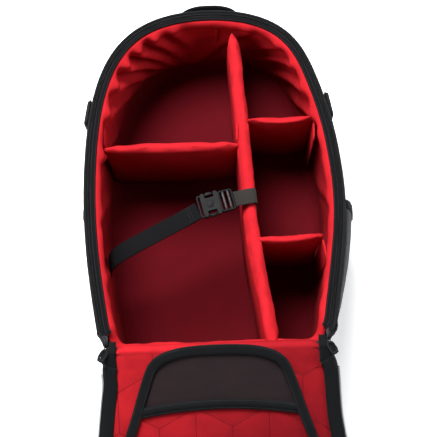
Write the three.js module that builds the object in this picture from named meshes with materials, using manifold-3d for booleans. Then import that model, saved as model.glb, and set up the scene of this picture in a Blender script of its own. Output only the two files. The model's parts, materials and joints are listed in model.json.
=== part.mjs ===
// An open camera backpack lying on its harness with the lid folded back past its hinge.
// Frame: +X across the bag, +Y from the hinge end to the handle end, +Z from the back pads to the
// opening. The origin is on the resting face of the middle back pad. Millimetres throughout.
import * as THREE from 'three';
import { mergeVertices } from 'three/addons/utils/BufferGeometryUtils.js';
import Module from 'manifold-3d';

const wasm = await Module();
wasm.setup();

// Driving dimensions.
const HINGE_Y = -230; // the body's hinge edge
const LENGTH = 460; // hinge edge to handle end
const HALF_WIDTH = 160; // at the widest
const HARNESS = 16; // thickness of the harness layer under the body
const HINGE_DEPTH = 200; // body depth at the hinge edge
const TOP_DEPTH = 150; // body depth at the handle end
const TUB_DROP = 3; // the tubs stop this far under the rim plane
const SHELL = 3; // outer fabric with its stiffener
const LINING_DEPTH = 17; // outer face to the lining's inner face
const GAP = 0.3; // between faces that touch
const DIVIDER_DROP = 14; // divider tops under the rim plane
const LONG_DIVIDER = 12; // thickness
const CROSS_DIVIDER = 8; // thickness
const LID_STACK = 15.3; // lid thickness outside the rim plane
const LID_LIFT = 2; // the closed lid's lining stands this far off the rim plane
const HINGE_CLEAR = 12; // thick lid layers start this far from the hinge axis
const WEBBING = 1.6; // strap thickness
const STRAP_WIDTH = 22;
const SLIDER_START = 20; // lid zip and band start this far from the hinge, past the parked sliders

// Slopes that follow from them.
const RIM_FALL = (HINGE_DEPTH - TOP_DEPTH) / LENGTH;
const RIM_STRETCH = Math.hypot(1, RIM_FALL); // length along the sloping rim per unit of y
const HINGE_Z = HARNESS + HINGE_DEPTH;
const LID_LENGTH = LENGTH * RIM_STRETCH;
const LID_LEAN = Math.asin((HINGE_Z - LID_STACK * 0.9) / LID_LENGTH); // far end comes down to the floor
const FLOOR_Z = HARNESS + LINING_DEPTH;

const rimZ = (y) => HINGE_Z - RIM_FALL * (y - HINGE_Y);
const point2 = (x, y) => new THREE.Vector2(x, y);
const point3 = (x, y, z) => new THREE.Vector3(x, y, z);

// Fractions of the wall's height with the inset there: a small floor radius and a slight belly.
const WALL_PROFILE = [[0, 5], [0.03, 1.5], [0.08, 0], [0.5, -2.5], [0.86, -1], [1, 0]];

const COLOURS = {
  shell: [0x232325, 0.85],
  foam: [0x5a5a5c, 0.95],
  red: [0xa81c28, 0.8],
  black: [0x18181a, 0.75],
  mesh: [0x2d2326, 0.9],
  coil: [0x6f6f73, 0.55],
  webbing: [0x1c1c1e, 0.7],
  plastic: [0x101012, 0.35],
  metal: [0x8a8a8e, 0.35],
  pad: [0x2b2b2e, 0.9],
};

function material(name) {
  const [color, roughness] = COLOURS[name];
  return new THREE.MeshStandardMaterial({ color, roughness, metalness: name === 'metal' ? 1 : 0 });
}

function part(name, geometry, finish) {
  const mesh = new THREE.Mesh(geometry, material(finish));
  mesh.name = name;
  return mesh;
}

// Stations of a loop that is mirrored in x: each has its point and its outward normal.
function mirroredLoop(curves) {
  const right = [];
  curves.forEach(([curve, steps], index) => {
    for (let i = index === 0 ? 0 : 1; i <= steps; i++) {
      const along = curve.getTangent(i / steps);
      right.push({ p: curve.getPoint(i / steps), n: point2(along.y, -along.x) });
    }
  });
  const mirror = ({ p, n }) => ({ p: point2(-p.x, p.y), n: point2(-n.x, n.y) });
  return [...right, ...right.slice(1, -1).reverse().map(mirror)];
}

const cubic = (...xy) => new THREE.CubicBezierCurve(...xy.map(([x, y]) => point2(x, y)));

// The body's outline in x and distance from the hinge edge.
const BODY_LOOP = mirroredLoop([
  [new THREE.LineCurve(point2(0, 0), point2(108, 0)), 1],
  [cubic([108, 0], [125, 0], [137.8, 13.3], [141, 30]), 4],
  [cubic([141, 30], [152, 92], [HALF_WIDTH, 150], [HALF_WIDTH, 212]), 6],
  [cubic([HALF_WIDTH, 212], [HALF_WIDTH, 370], [130, LENGTH], [0, LENGTH]), 9],
]);
const CORNER_END = 5; // station where the hinge corner meets the side
const SIDE_END = 11; // station at the widest place

// The arch of the lid's inner panel, in x and distance from the hinge axis along the lid.
const ARCH_BAND = 11;
const ARCH_LOOP = mirroredLoop([
  [cubic([0, 8], [48, 8], [70, 12], [76, 26]), 5],
  [cubic([76, 26], [82, 37], [88, 52], [93.5, 69]), 2],
  [cubic([93.5, 69], [101, 90], [113, 118], [122, 150]), 3],
  [cubic([122, 150], [130, 180], [133, 205], [133, 230]), 2],
  [cubic([133, 230], [133, 350], [106, 430], [0, 430]), 7],
]);
const ARCH_HEM = 7; // station where the mesh ends

// Triangles of a flat or nearly flat ring, wound the way the ring runs.
function capTriangles(ring) {
  const normal = point3(0, 0, 0);
  ring.forEach((a, i) => {
    const b = ring[(i + 1) % ring.length];
    normal.x += (a[1] - b[1]) * (a[2] + b[2]);
    normal.y += (a[2] - b[2]) * (a[0] + b[0]);
    normal.z += (a[0] - b[0]) * (a[1] + b[1]);
  });
  const sizes = normal.toArray().map(Math.abs);
  const dropped = sizes.indexOf(Math.max(...sizes));
  const flat = ring.map((p) => point2(p[(dropped + 1) % 3], p[(dropped + 2) % 3]));
  const sense = Math.sign(THREE.ShapeUtils.area(flat));
  return THREE.ShapeUtils.triangulateShape(flat, []).map(([a, b, c]) => {
    const turn = Math.sign(THREE.ShapeUtils.area([flat[a], flat[b], flat[c]]));
    return turn === sense ? [a, b, c] : [a, c, b];
  });
}

function signedVolume(vertices, triangles) {
  let volume = 0;
  for (let i = 0; i < triangles.length; i += 3) {
    const [a, b, c] = [0, 1, 2].map((k) => point3(...vertices[triangles[i + k]]));
    volume += a.dot(b.cross(c));
  }
  return volume;
}

// A closed solid through rings of equal count: capped at its two ends, or joined into a loop.
function loft(rings, joined = false) {
  const count = rings[0].length;
  const vertices = rings.flat();
  const triangles = [];
  const spans = joined ? rings.length : rings.length - 1;
  for (let i = 0; i < spans; i++) {
    for (let j = 0; j < count; j++) {
      const next = ((i + 1) % rings.length) * count;
      const [a, b] = [i * count + j, i * count + ((j + 1) % count)];
      const [c, d] = [next + j, next + ((j + 1) % count)];
      triangles.push(a, b, d, a, d, c);
    }
  }
  if (!joined) {
    const last = vertices.length - count;
    for (const [a, b, c] of capTriangles(rings[0])) triangles.push(a, c, b);
    for (const [a, b, c] of capTriangles(rings.at(-1))) triangles.push(last + a, last + b, last + c);
  }
  if (signedVolume(vertices, triangles) < 0) triangles.reverse();
  const geometry = new THREE.BufferGeometry();
  geometry.setAttribute('position', new THREE.Float32BufferAttribute(vertices.flat(), 3));
  geometry.setIndex(triangles);
  return geometry;
}

function toSolid(geometry) {
  const bare = geometry.clone();
  bare.deleteAttribute('normal');
  bare.deleteAttribute('uv');
  const merged = mergeVertices(bare, 1e-4);
  const vertProperties = new Float32Array(merged.attributes.position.array);
  const triVerts = new Uint32Array(merged.index.array);
  return new wasm.Manifold(new wasm.Mesh({ numProp: 3, vertProperties, triVerts }));
}

function toGeometry(solid) {
  const { vertProperties, triVerts } = solid.getMesh();
  const geometry = new THREE.BufferGeometry();
  geometry.setAttribute('position', new THREE.Float32BufferAttribute(vertProperties, 3));
  geometry.setIndex([...triVerts]);
  return geometry;
}

const cut = (whole, tool) => toGeometry(toSolid(whole).subtract(toSolid(tool)));

// A flat strap along a path. Its width runs along the vector across, or one such vector per point.
function ribbon(path, across, width, thickness) {
  const rings = path.map((point, i) => {
    const ahead = path[Math.min(i + 1, path.length - 1)];
    const along = ahead.clone().sub(path[Math.max(i - 1, 0)]).normalize();
    const lead = Array.isArray(across) ? across[i] : across;
    const side = lead.clone().addScaledVector(along, -lead.dot(along)).normalize();
    const up = side.clone().cross(along);
    return [[-1, -1], [1, -1], [1, 1], [-1, 1]].map(([a, b]) => point.clone()
      .addScaledVector(side, (a * width) / 2).addScaledVector(up, (b * thickness) / 2).toArray());
  });
  return loft(rings);
}

// A plate from low to high in z, with its outline given as corner points and optional holes.
function plate(corners, low, high, holes = []) {
  const shape = new THREE.Shape(corners.map(([x, y]) => point2(x, y)));
  shape.holes = holes.map((hole) => new THREE.Path(hole.map(([x, y]) => point2(x, y))));
  const geometry = new THREE.ExtrudeGeometry(shape, { depth: high - low, bevelEnabled: false });
  return geometry.translate(0, 0, low);
}

// Corner points of a rectangle with rounded corners, centred on x and y.
function roundedBox(width, length, radius, x = 0, y = 0, steps = 3) {
  const corners = [];
  for (const [sx, sy, start] of [[1, 1, 0], [-1, 1, 1], [-1, -1, 2], [1, -1, 3]]) {
    for (let i = 0; i <= steps; i++) {
      const angle = ((start + i / steps) * Math.PI) / 2;
      corners.push([
        x + sx * (width / 2 - radius) + radius * Math.cos(angle),
        y + sy * (length / 2 - radius) + radius * Math.sin(angle),
      ]);
    }
  }
  return corners;
}

// ---- Body shell, foam and lining ----

function shellPoint({ p, n }, depth, [fraction, inset]) {
  const y = HINGE_Y + p.y - n.y * (depth + inset);
  const floor = HARNESS + depth;
  return [p.x - n.x * (depth + inset), y, floor + fraction * (rimZ(y) - TUB_DROP - floor)];
}

function tub(outerDepth, innerDepth) {
  const ring = (depth) => (level) => BODY_LOOP.map((station) => shellPoint(station, depth, level));
  const outside = WALL_PROFILE.map(ring(outerDepth));
  const inside = WALL_PROFILE.map(ring(innerDepth)).reverse();
  return loft([...outside, ...inside]);
}

// ---- Rim trims: open strips round the body from one hinge corner to the other ----

const RIM_RUN = BODY_LOOP.slice(3, BODY_LOOP.length - 2);

function rimStrip(nearInset, farInset, low, high) {
  const rings = RIM_RUN.map(({ p, n }) => {
    const corner = (inset, rise) => {
      const y = HINGE_Y + p.y - n.y * inset;
      return [p.x - n.x * inset, y, rimZ(y) + rise];
    };
    return [corner(nearInset, low), corner(farInset, low), corner(farInset, high), corner(nearInset, high)];
  });
  return loft(rings);
}

function rim() {
  return [
    part('rim_piping', rimStrip(0, 3.4, -2.7, 0.3), 'black'),
    part('body_zip_tape', rimStrip(3.7, 8, -2.7, -1.2), 'black'),
    part('body_zip_coil', rimStrip(4.2, 7.2, -0.9, 1.1), 'coil'),
    part('rim_band', rimStrip(8.3, 14.5, -2.7, -0.2), 'black'),
  ];
}

// ---- Dividers ----

const LONG_DIVIDER_LINE = new THREE.SplineCurve(
  [[64, -212], [57, -150], [47.5, -92], [45, -20], [41, 75], [37.5, 150], [34.5, 206]]
    .map(([x, y]) => point2(x, y)),
);
const FOOT_PULL = 8; // the ends of a divider's foot stop this much short, clear of the floor radius

function longDivider() {
  const steps = 12;
  const rings = [];
  for (let i = 0; i <= steps; i++) {
    const { x, y } = LONG_DIVIDER_LINE.getPoint(i / steps);
    const along = LONG_DIVIDER_LINE.getTangent(i / steps);
    const footY = y + FOOT_PULL * (1 - (2 * i) / steps);
    const [nx, ny] = [(along.y * LONG_DIVIDER) / 2, (-along.x * LONG_DIVIDER) / 2];
    const top = (sx) => [x + sx * nx, y + sx * ny, rimZ(y + sx * ny) - DIVIDER_DROP];
    const foot = (sx) => [x + sx * nx, footY + sx * ny, FLOOR_Z + GAP];
    rings.push([foot(-1), foot(1), top(1), top(-1)]);
  }
  return loft(rings);
}

// A cross divider from wallX to dividerX at y, with a hook-and-loop wing turned along each end.
function crossDivider(wallX, dividerX, y, wingSense, wallLean, dividerLean) {
  const wing = 30;
  const wingThickness = 2.5;
  const sign = Math.sign(dividerX - wallX);
  const half = (CROSS_DIVIDER / 2) * wingSense;
  const outline = (pull) => {
    const wall = wallX + sign * pull;
    return [
      [wall, y - half], [dividerX, y - half],
      [dividerX + dividerLean * wing, y + half + wingSense * wing],
      [dividerX + dividerLean * wing - sign * wingThickness, y + half + wingSense * wing],
      [dividerX - sign * wingThickness, y + half],
      [wall + sign * wingThickness, y + half],
      [wall + wallLean * wing + sign * wingThickness, y + half + wingSense * wing],
      [wall + wallLean * wing, y + half + wingSense * wing],
    ];
  };
  const ring = (pull, height) => outline(pull).map(([px, py]) => [px, py, height(py)]);
  return loft([
    ring(6, () => FLOOR_Z + GAP),
    ring(0, () => FLOOR_Z + FOOT_PULL),
    ring(0, (py) => rimZ(py) - DIVIDER_DROP),
  ]);
}

function dividers() {
  return [
    part('long_divider', longDivider(), 'red'),
    part('cross_divider_left', crossDivider(-136.5, 35.5, 38, 1, 0.02, -0.04), 'red'),
    part('cross_divider_upper_right', crossDivider(131.5, 48, 72, -1, 0.06, 0.06), 'red'),
    part('cross_divider_lower_right', crossDivider(134.5, 56, -92, -1, -0.13, 0.18), 'red'),
  ];
}

// ---- Tie-down strap with its side-release buckle ----

const BUCKLE = { x: 5, y: -47, turn: THREE.MathUtils.degToRad(13.5), width: 30, depth: 9 };
const BUCKLE_Z = rimZ(BUCKLE.y) - DIVIDER_DROP + 1;

function tieWebbingLeft() {
  const z = rimZ(-80);
  const path = [
    point3(-133.6, -110, z - 62), point3(-133.6, -110, z - 34), point3(-130.5, -108.6, z - 22),
    point3(-119, -103, z - 15.5), point3(-80, -86, z - 12), point3(-41, -68, z - 12),
    point3(-19.5, -56.5, z - 12.3),
  ];
  const across = path.map((_, i) => (i < 2 ? point3(-0.12, 1, 0) : point3(-0.4, 0.9, -0.1)));
  return ribbon(path, across, STRAP_WIDTH, WEBBING);
}

function tieWebbingRight() {
  const z = rimZ(-39) - DIVIDER_DROP + WEBBING / 2 + 0.9;
  const path = [
    point3(28.5, -41.4, z), point3(38, -39.4, z), point3(46, -38, z), point3(53, -37.2, z - 0.2),
    point3(54.4, -37, z - 3), point3(54.2, -37, z - 22), point3(54.2, -37, z - 50),
  ];
  const across = path.map((_, i) => (i < 3 ? point3(-0.1, 1, -RIM_FALL) : point3(-0.04, 1, 0)));
  return ribbon(path, across, STRAP_WIDTH - 2, WEBBING);
}

// The socket half: side windows leave the prong buttons room to be squeezed in.
function buckleFemale() {
  const [half, window] = [BUCKLE.width / 2, 7];
  const side = (s) => [[3, s * half], [-1, s * half], [-1, s * (half - window)], [-14, s * (half - window)],
    [-14, s * half], [-18, s * (half - 1)], [-22, s * (half - 4)]];
  return plate([...side(-1), ...side(1).reverse()], 0, BUCKLE.depth);
}

function buckleMale() {
  const outer = roundedBox(18, BUCKLE.width - 2, 3, 12.6, 0, 2);
  const slots = [7.6, 17.4].map((x) => roundedBox(4, 21, 1.2, x, 0, 1).reverse());
  return plate(outer, 1, BUCKLE.depth - 2.4, slots);
}

function prong(side) {
  const outer = side * (BUCKLE.width / 2 + 0.6);
  const inner = side * (BUCKLE.width / 2 - 3);
  const corners = [[-13, inner], [-2, inner], [-2, outer - side], [-5, outer], [-10, outer], [-13, outer - side]];
  return plate(side > 0 ? corners : corners.reverse(), 1.5, BUCKLE.depth - 1.5);
}

function tieStrap() {
  const buckle = new THREE.Group();
  buckle.position.set(BUCKLE.x, BUCKLE.y, BUCKLE_Z);
  buckle.rotation.z = BUCKLE.turn;
  buckle.add(
    part('tie_buckle_female', buckleFemale(), 'plastic'),
    part('tie_buckle_male', buckleMale(), 'plastic'),
    part('tie_buckle_prong_front', prong(-1), 'plastic'),
    part('tie_buckle_prong_rear', prong(1), 'plastic'),
  );
  return [
    buckle,
    part('tie_webbing_left', tieWebbingLeft(), 'webbing'),
    part('tie_webbing_right', tieWebbingRight(), 'webbing'),
  ];
}

// ---- Zip sliders and their pulls ----

// A slider in its own frame: travel along +y, the coil passing under it.
function sliderBody(width, length, height) {
  return plate(roundedBox(width, length, 2.5, 0, 0, 2), 0, height);
}

// A pull loop hanging from its pivot at the origin towards -y.
function pullLoop(length, width) {
  const outer = roundedBox(width, length, width / 2 - 0.2, 0, -length / 2, 4);
  const inner = roundedBox(width - 4, length - 4, width / 2 - 2.2, 0, -length / 2, 4).reverse();
  return plate(outer, -1, 1, [inner]);
}

const SLIDER_LEAN = THREE.MathUtils.degToRad(10.5); // the coil's run there leans outward
const SLIDER_AT = point2(130.2, 12); // in x and distance from the hinge edge
const SLIDER_SIZE = { width: 9.5, length: 13, height: 3.6 };
const PULL_SIZE = { length: 15, width: 8.5 };
const PULL_SPLAY = THREE.MathUtils.degToRad(30); // outward from the -y direction
const PULL_STANDOFF = 4.2; // pivot to slider, so the pull clears the slider when it stands up

function bodySlider(side, name) {
  const place = new THREE.Group();
  const y = HINGE_Y + SLIDER_AT.y;
  place.position.set(side * SLIDER_AT.x, y, rimZ(y) + 1.6);
  place.rotation.set(-Math.atan(RIM_FALL), 0, -side * SLIDER_LEAN, 'ZXY');
  const { width, length, height } = SLIDER_SIZE;
  place.add(part(`zip_slider_${name}`, sliderBody(width, length, height), 'metal'));
  const pull = part(`zip_pull_${name}`, pullLoop(PULL_SIZE.length, PULL_SIZE.width), 'black');
  pull.position.set(0, -length / 2 - PULL_STANDOFF, height / 2);
  pull.rotation.z = side * (PULL_SPLAY + SLIDER_LEAN);
  place.add(pull);
  return place;
}

// ---- Harness layer under the body ----

function pad(name, corners) {
  return part(name, plate(corners, 0, HARNESS - GAP), 'pad');
}

function trapezoid(lowY, highY, lowHalf, highHalf, chamfer) {
  const right = [
    [lowHalf - chamfer, lowY], [lowHalf, lowY + chamfer],
    [highHalf, highY - chamfer], [highHalf - chamfer, highY],
  ];
  return [...right, ...right.map(([x, y]) => [-x, y]).reverse()];
}

function shoulderStrap(side) {
  const path = [[60, 196], [67, 165], [79, 130], [92, 88], [102, 40], [107, -10], [106, -55], [102, -95]]
    .map(([x, y]) => point3(side * x, y, 7));
  return ribbon(path, point3(1, 0, 0), 54, 12);
}

function ladderLock(width, length, thickness) {
  const slots = [-1, 1].map((s) => roundedBox(width - 8, length / 5, 1, 0, (s * length) / 4.6, 1).reverse());
  return plate(roundedBox(width, length, 3, 0, 0, 2), 0, thickness, slots);
}

function harness() {
  const pieces = [
    pad('lumbar_pad', trapezoid(-205, -120, 92, 94, 14)),
    pad('middle_back_pad', trapezoid(-110, 15, 62, 60, 12)),
    pad('upper_back_pad', trapezoid(95, 190, 52, 24, 10)),
  ];
  for (const [side, name] of [[-1, 'left'], [1, 'right']]) {
    pieces.push(part(`shoulder_strap_${name}`, shoulderStrap(side), 'pad'));
    const lock = part(`strap_adjuster_${name}`, ladderLock(30, 24, 5), 'plastic');
    lock.position.set(side * 104, -109, 4);
    const lower = [[108, -123.5], [115, -150], [121, -188]].map(([x, y]) => point3(side * x, y, 7));
    pieces.push(lock, part(`lower_webbing_${name}`, ribbon(lower, point3(1, 0, 0), 22, WEBBING), 'webbing'));
    const chest = [18, 40, 61].map((x) => point3(side * x, 55, 6));
    pieces.push(part(`sternum_webbing_${name}`, ribbon(chest, point3(0, 1, 0), 20, WEBBING), 'webbing'));
  }
  pieces.push(part('sternum_buckle', plate(roundedBox(34, 26, 5, 0, 55, 2), 2, 10), 'plastic'));
  return pieces;
}

// ---- Outside fittings ----

function topHandle() {
  const z = 112;
  const path = [];
  for (let i = 0; i <= 10; i++) {
    const turn = (Math.PI * i) / 10;
    path.push(point3(3 - 44 * Math.cos(turn), 230.4 + 27 * Math.sin(turn) ** 0.8, z));
  }
  return ribbon(path, point3(0, 0, 1), 25, 5);
}

// The block between the wall and a surface standing off it, along the side's stations.
function wallBlock(standoff, lowest, low, high) {
  const levels = [low, low + 0.1, (low + high) / 2, high - 0.1, high];
  const bulge = [0, 0.8, 1, 0.8, 0];
  const run = BODY_LOOP.slice(lowest, SIDE_END);
  const rings = run.map((station, i) => {
    const swell = 0.55 + (0.45 * i) / (run.length - 1);
    const near = levels.map((level) => shellPoint(station, -GAP, [level, -3.4]));
    const far = levels.map((level, k) => shellPoint(station, -GAP, [level, -4.2 - standoff * bulge[k] * swell]));
    return [...near, ...far.reverse()];
  });
  return rings;
}

// A stretch pocket on the side wall: its mouth faces the handle end.
function sidePocket(standoff) {
  const skin = 2.4;
  const whole = loft(wallBlock(standoff + skin, CORNER_END, 0.1, 0.86));
  const hollow = wallBlock(standoff, CORNER_END + 1, 0.16, 0.8);
  const beyond = hollow.at(-1).map(([x, y, z]) => [x, y + 20, z]);
  const inward = [...hollow, beyond].map((ring) => ring.map(([x, y, z], k) => [k < 5 ? x - 3 : x, y, z]));
  return cut(whole, loft(inward));
}

function mirrorX(geometry) {
  const mirrored = geometry.clone().scale(-1, 1, 1);
  mirrored.setIndex([...mirrored.index.array].reverse());
  return mirrored;
}

// A compression strap down the side wall, with its adjuster standing on it.
function compression(side, name) {
  const y = 91;
  const x = side * 154.8;
  const path = [[0.4, 34], [2.8, 90], [1.6, 150], [0.8, 172]].map(([out, z]) => point3(x + side * out, y, z));
  const lean = point3(-0.158 * side, 1, 0).normalize();
  const [across, up] = [lean.clone().multiplyScalar(side), point3(0, 0, 1)];
  const webbing = part(`compression_webbing_${name}`, ribbon(path, lean, 24, WEBBING), 'webbing');
  const lock = part(`compression_adjuster_${name}`, ladderLock(34, 26, 4), 'plastic');
  const turned = new THREE.Matrix4().makeBasis(across, up, across.clone().cross(up));
  lock.quaternion.setFromRotationMatrix(turned);
  lock.position.set(x + side * 4.6, y, 146);
  return [webbing, lock];
}

function outside() {
  const left = mirrorX(sidePocket(6));
  return [
    part('top_handle', topHandle(), 'webbing'),
    part('side_pocket_left', left, 'shell'),
    part('side_pocket_right', sidePocket(10), 'shell'),
    ...compression(-1, 'left'),
    ...compression(1, 'right'),
  ];
}

// ---- Lid ----

// Points of the lid's outline, in x and distance from the hinge axis, at an inset.
function lidLoop(inset, nearest = 0, farthest = LID_LENGTH) {
  return BODY_LOOP.map(({ p, n }) => {
    const along = (p.y - n.y * inset) * RIM_STRETCH;
    return [p.x - n.x * inset, Math.min(Math.max(along, nearest), farthest)];
  });
}

function lidStrip(nearInset, farInset, low, high) {
  const [near, far] = [lidLoop(nearInset, SLIDER_START), lidLoop(farInset, SLIDER_START)];
  const rings = [];
  for (let i = 4; i <= BODY_LOOP.length - 4; i++) {
    rings.push([[...near[i], low], [...far[i], low], [...far[i], high], [...near[i], high]]);
  }
  return loft(rings);
}

// The lining runs nearly to the hinge axis between the hinge corners.
const LINING_START = 5;

function liningLoop() {
  const loop = lidLoop(16.3);
  for (const i of [0, 1, loop.length - 1]) loop[i][1] = LINING_START;
  return loop;
}

const archLoop = (offset) => ARCH_LOOP.map(({ p, n }) => [p.x + n.x * offset, p.y + n.y * offset]);

function archBinding() {
  const [inner, outer] = [archLoop(-ARCH_BAND / 2), archLoop(ARCH_BAND / 2)];
  const [low, high] = [-2.4, LID_LIFT - GAP];
  const rings = inner.map((point, i) => (
    [[...point, low], [...outer[i], low], [...outer[i], high], [...point, high]]
  ));
  return loft(rings, true);
}

function meshPanel() {
  const loop = archLoop(-ARCH_BAND / 2 + 0.3);
  const half = loop.slice(0, ARCH_HEM + 1);
  return plate([...half, ...half.slice(1).reverse().map(([x, y]) => [-x, y])], 2.2, 3);
}

function lidPanels() {
  const archHole = archLoop(-ARCH_BAND / 2 + 1).reverse();
  return [
    part('lid_edge_band', lidStrip(4.3, 16, LID_LIFT, 4), 'black'),
    part('lid_zip_coil', lidStrip(1, 4, LID_LIFT, 4), 'coil'),
    part('lid_lining', plate(liningLoop(), LID_LIFT, 4.5, [archHole]), 'red'),
    part('lid_arch_binding', archBinding(), 'black'),
    part('lid_mesh_panel', meshPanel(), 'mesh'),
    part('lid_mesh_hem', plate([[-87, 71.5], [87, 71.5], [90.5, 82], [-90.5, 82]], LID_LIFT, 4.4), 'black'),
    part('lid_center_panel', plate(archLoop(2), 4.8, 6.8), 'red'),
    part('lid_foam', plate(lidLoop(4, HINGE_CLEAR), 7.1, 12), 'foam'),
    part('lid_outer_panel', plate(lidLoop(0.5, HINGE_CLEAR), 12.3, LID_STACK), 'shell'),
  ];
}

const POCKET_ZIP = { s: 330, face: LID_STACK + GAP + 5, half: 95, travel: 150 };

function frontPocket() {
  const { s, face, half } = POCKET_ZIP;
  const slider = part('pocket_zip_slider', sliderBody(9, 12, 3.6), 'metal');
  slider.rotation.z = Math.PI / 2;
  slider.position.set(-POCKET_ZIP.travel / 2, s, face + 3.4);
  const pull = part('pocket_zip_pull', pullLoop(26, 7), 'black');
  pull.position.set(-POCKET_ZIP.travel / 2, s - 6.8, face + 5.2);
  return [
    part('front_pocket_panel', plate(lidLoop(26, 52, 405), LID_STACK + GAP, face), 'shell'),
    part('pocket_zip_tape', plate(roundedBox(2 * half, 24, 2, 0, s, 1), face + 0.3, face + 1.3), 'black'),
    part('pocket_zip_coil', plate(roundedBox(2 * half - 8, 5, 1, 0, s, 1), face + 1.6, face + 3), 'coil'),
    slider,
    pull,
  ];
}

function lid() {
  const group = new THREE.Group();
  group.position.set(0, HINGE_Y, HINGE_Z);
  group.rotation.x = Math.PI + LID_LEAN;
  group.add(...lidPanels(), ...frontPocket());
  return group;
}

// The fabric roll that the lid turns on.
function hingeRoll() {
  const roll = new THREE.CylinderGeometry(2, 2, 212, 10);
  roll.rotateZ(Math.PI / 2);
  return roll.translate(0, HINGE_Y - 0.4, HINGE_Z);
}

const bag = new THREE.Group();
bag.add(
  part('outer_shell', tub(0, SHELL), 'shell'),
  part('wall_foam', tub(SHELL + GAP, LINING_DEPTH - 5.7), 'foam'),
  part('lining_tub', tub(LINING_DEPTH - 5.4, LINING_DEPTH), 'red'),
  part('hinge_roll', hingeRoll(), 'red'),
  ...rim(),
  ...dividers(),
  ...tieStrap(),
  bodySlider(-1, 'left'),
  bodySlider(1, 'right'),
  ...harness(),
  ...outside(),
  lid(),
);

export default bag;
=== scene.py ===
"""Looks of an open camera backpack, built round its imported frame.

Lengths are in millimetres in the frame's own axes until a mesh is made, which turns them into metres.
"""
import json
import math

import bmesh
import bpy
import numpy as np
from mathutils import Matrix, Vector, noise


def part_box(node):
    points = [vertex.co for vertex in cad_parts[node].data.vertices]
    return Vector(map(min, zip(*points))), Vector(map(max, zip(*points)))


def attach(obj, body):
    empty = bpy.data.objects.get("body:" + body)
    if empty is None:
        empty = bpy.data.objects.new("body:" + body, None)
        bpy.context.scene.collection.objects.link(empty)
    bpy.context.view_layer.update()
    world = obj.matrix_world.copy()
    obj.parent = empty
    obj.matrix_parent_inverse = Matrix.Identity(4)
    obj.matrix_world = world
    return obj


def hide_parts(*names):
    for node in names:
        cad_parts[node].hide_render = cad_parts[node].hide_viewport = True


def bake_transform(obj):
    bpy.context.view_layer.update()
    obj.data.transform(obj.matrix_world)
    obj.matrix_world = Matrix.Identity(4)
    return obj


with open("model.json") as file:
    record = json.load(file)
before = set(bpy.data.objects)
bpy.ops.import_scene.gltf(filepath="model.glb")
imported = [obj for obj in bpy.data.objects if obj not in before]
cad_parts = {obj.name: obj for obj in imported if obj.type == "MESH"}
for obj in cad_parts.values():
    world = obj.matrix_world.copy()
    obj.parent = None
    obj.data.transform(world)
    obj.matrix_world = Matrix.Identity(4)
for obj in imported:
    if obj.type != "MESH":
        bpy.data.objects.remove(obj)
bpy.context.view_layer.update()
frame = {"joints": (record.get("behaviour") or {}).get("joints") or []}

# ---- Driving dimensions, as the frame has them ----
MM = 0.001
JOINTS = {joint["name"]: joint for joint in frame["joints"]}
HINGE_Y, HINGE_Z = (value / MM for value in JOINTS["lid_hinge"]["pos_m"][1:])
LENGTH = 460.0  # hinge edge to handle end
HARNESS = 16.0  # thickness of the harness layer
RIM_FALL = 50.0 / LENGTH
RIM_STRETCH = math.hypot(1, RIM_FALL)
LID_LENGTH = LENGTH * RIM_STRETCH
LID_TIP_Z = 13.77  # height of the lid's far end, in the line of its hinge axis, when it lies open
LID_LEAN = math.asin((HINGE_Z - LID_TIP_Z) / LID_LENGTH)
LINING_DEPTH = 17.0  # from the outer face to the lining
DIVIDER_DROP = 14.0  # from the rim plane to the dividers' tops
FLOOR_Z = HARNESS + LINING_DEPTH

BODY_CURVES = [
    [(0, 0), (108, 0)],
    [(108, 0), (125, 0), (137.8, 13.3), (141, 30)],
    [(141, 30), (152, 92), (160, 150), (160, 212)],
    [(160, 212), (160, 370), (130, LENGTH), (0, LENGTH)],
]
ARCH_CURVES = [
    [(0, 0), (46, 0), (70, 5), (79, 25)],
    [(79, 25), (84, 37), (89, 53), (94, 69)],
    [(94, 69), (101, 92), (112, 120), (121, 150)],
    [(121, 150), (129, 180), (133, 205), (133, 230)],
    [(133, 230), (133, 350), (106, 430), (0, 430)],
]
WALL_LEVELS = [(0, 5), (0.03, 1.5), (0.08, 0), (0.5, -2.5), (0.86, -1), (1, 0)]  # share of height, inset


def rim_z(y):
    """Height of the rim plane, which falls from the hinge edge to the handle end."""
    return HINGE_Z - RIM_FALL * (y - HINGE_Y)


# ---- Shape helpers ----

def bezier(controls, t):
    points = [np.asarray(c, float) for c in controls]
    while len(points) > 1:
        points = [a + (b - a) * t for a, b in zip(points, points[1:])]
    return points[0]


def lengths_along(points):
    return np.r_[0, np.cumsum(np.linalg.norm(np.diff(points, axis=0), axis=1))]


def resample(points, count):
    """count points spread evenly along a line."""
    points = np.asarray(points, float)
    lengths = lengths_along(points)
    at = np.linspace(0, lengths[-1], count)
    return np.stack([np.interp(at, lengths, column) for column in points.T], 1)


def smooth(points, step):
    """A line through given points with its corners rounded, resampled about every step."""
    points = np.asarray(points, float)
    for _ in range(3):
        near, far = points[:-1] * 0.75 + points[1:] * 0.25, points[:-1] * 0.25 + points[1:] * 0.75
        inner = np.stack([near, far], 1).reshape(-1, points.shape[1])
        points = np.vstack([points[:1], inner[1:-1], points[-1:]])
    return resample(points, max(3, int(lengths_along(points)[-1] / step) + 1))


def mirrored_loop(curves, count):
    """Points and outward normals of a loop mirrored in x, from its lower centre anticlockwise."""
    t = np.linspace(0, 1, 80)[:, None]
    half = np.vstack([bezier(c, t) if i == 0 else bezier(c, t)[1:] for i, c in enumerate(curves)])
    full = np.vstack([half, (half[::-1] * [-1, 1])[1:]])
    points = resample(full, count + 1)[:-1]
    along = np.roll(points, -1, 0) - np.roll(points, 1, 0)
    normals = np.stack([along[:, 1], -along[:, 0]], 1)
    return points, normals / np.linalg.norm(normals, axis=1)[:, None]


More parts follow.
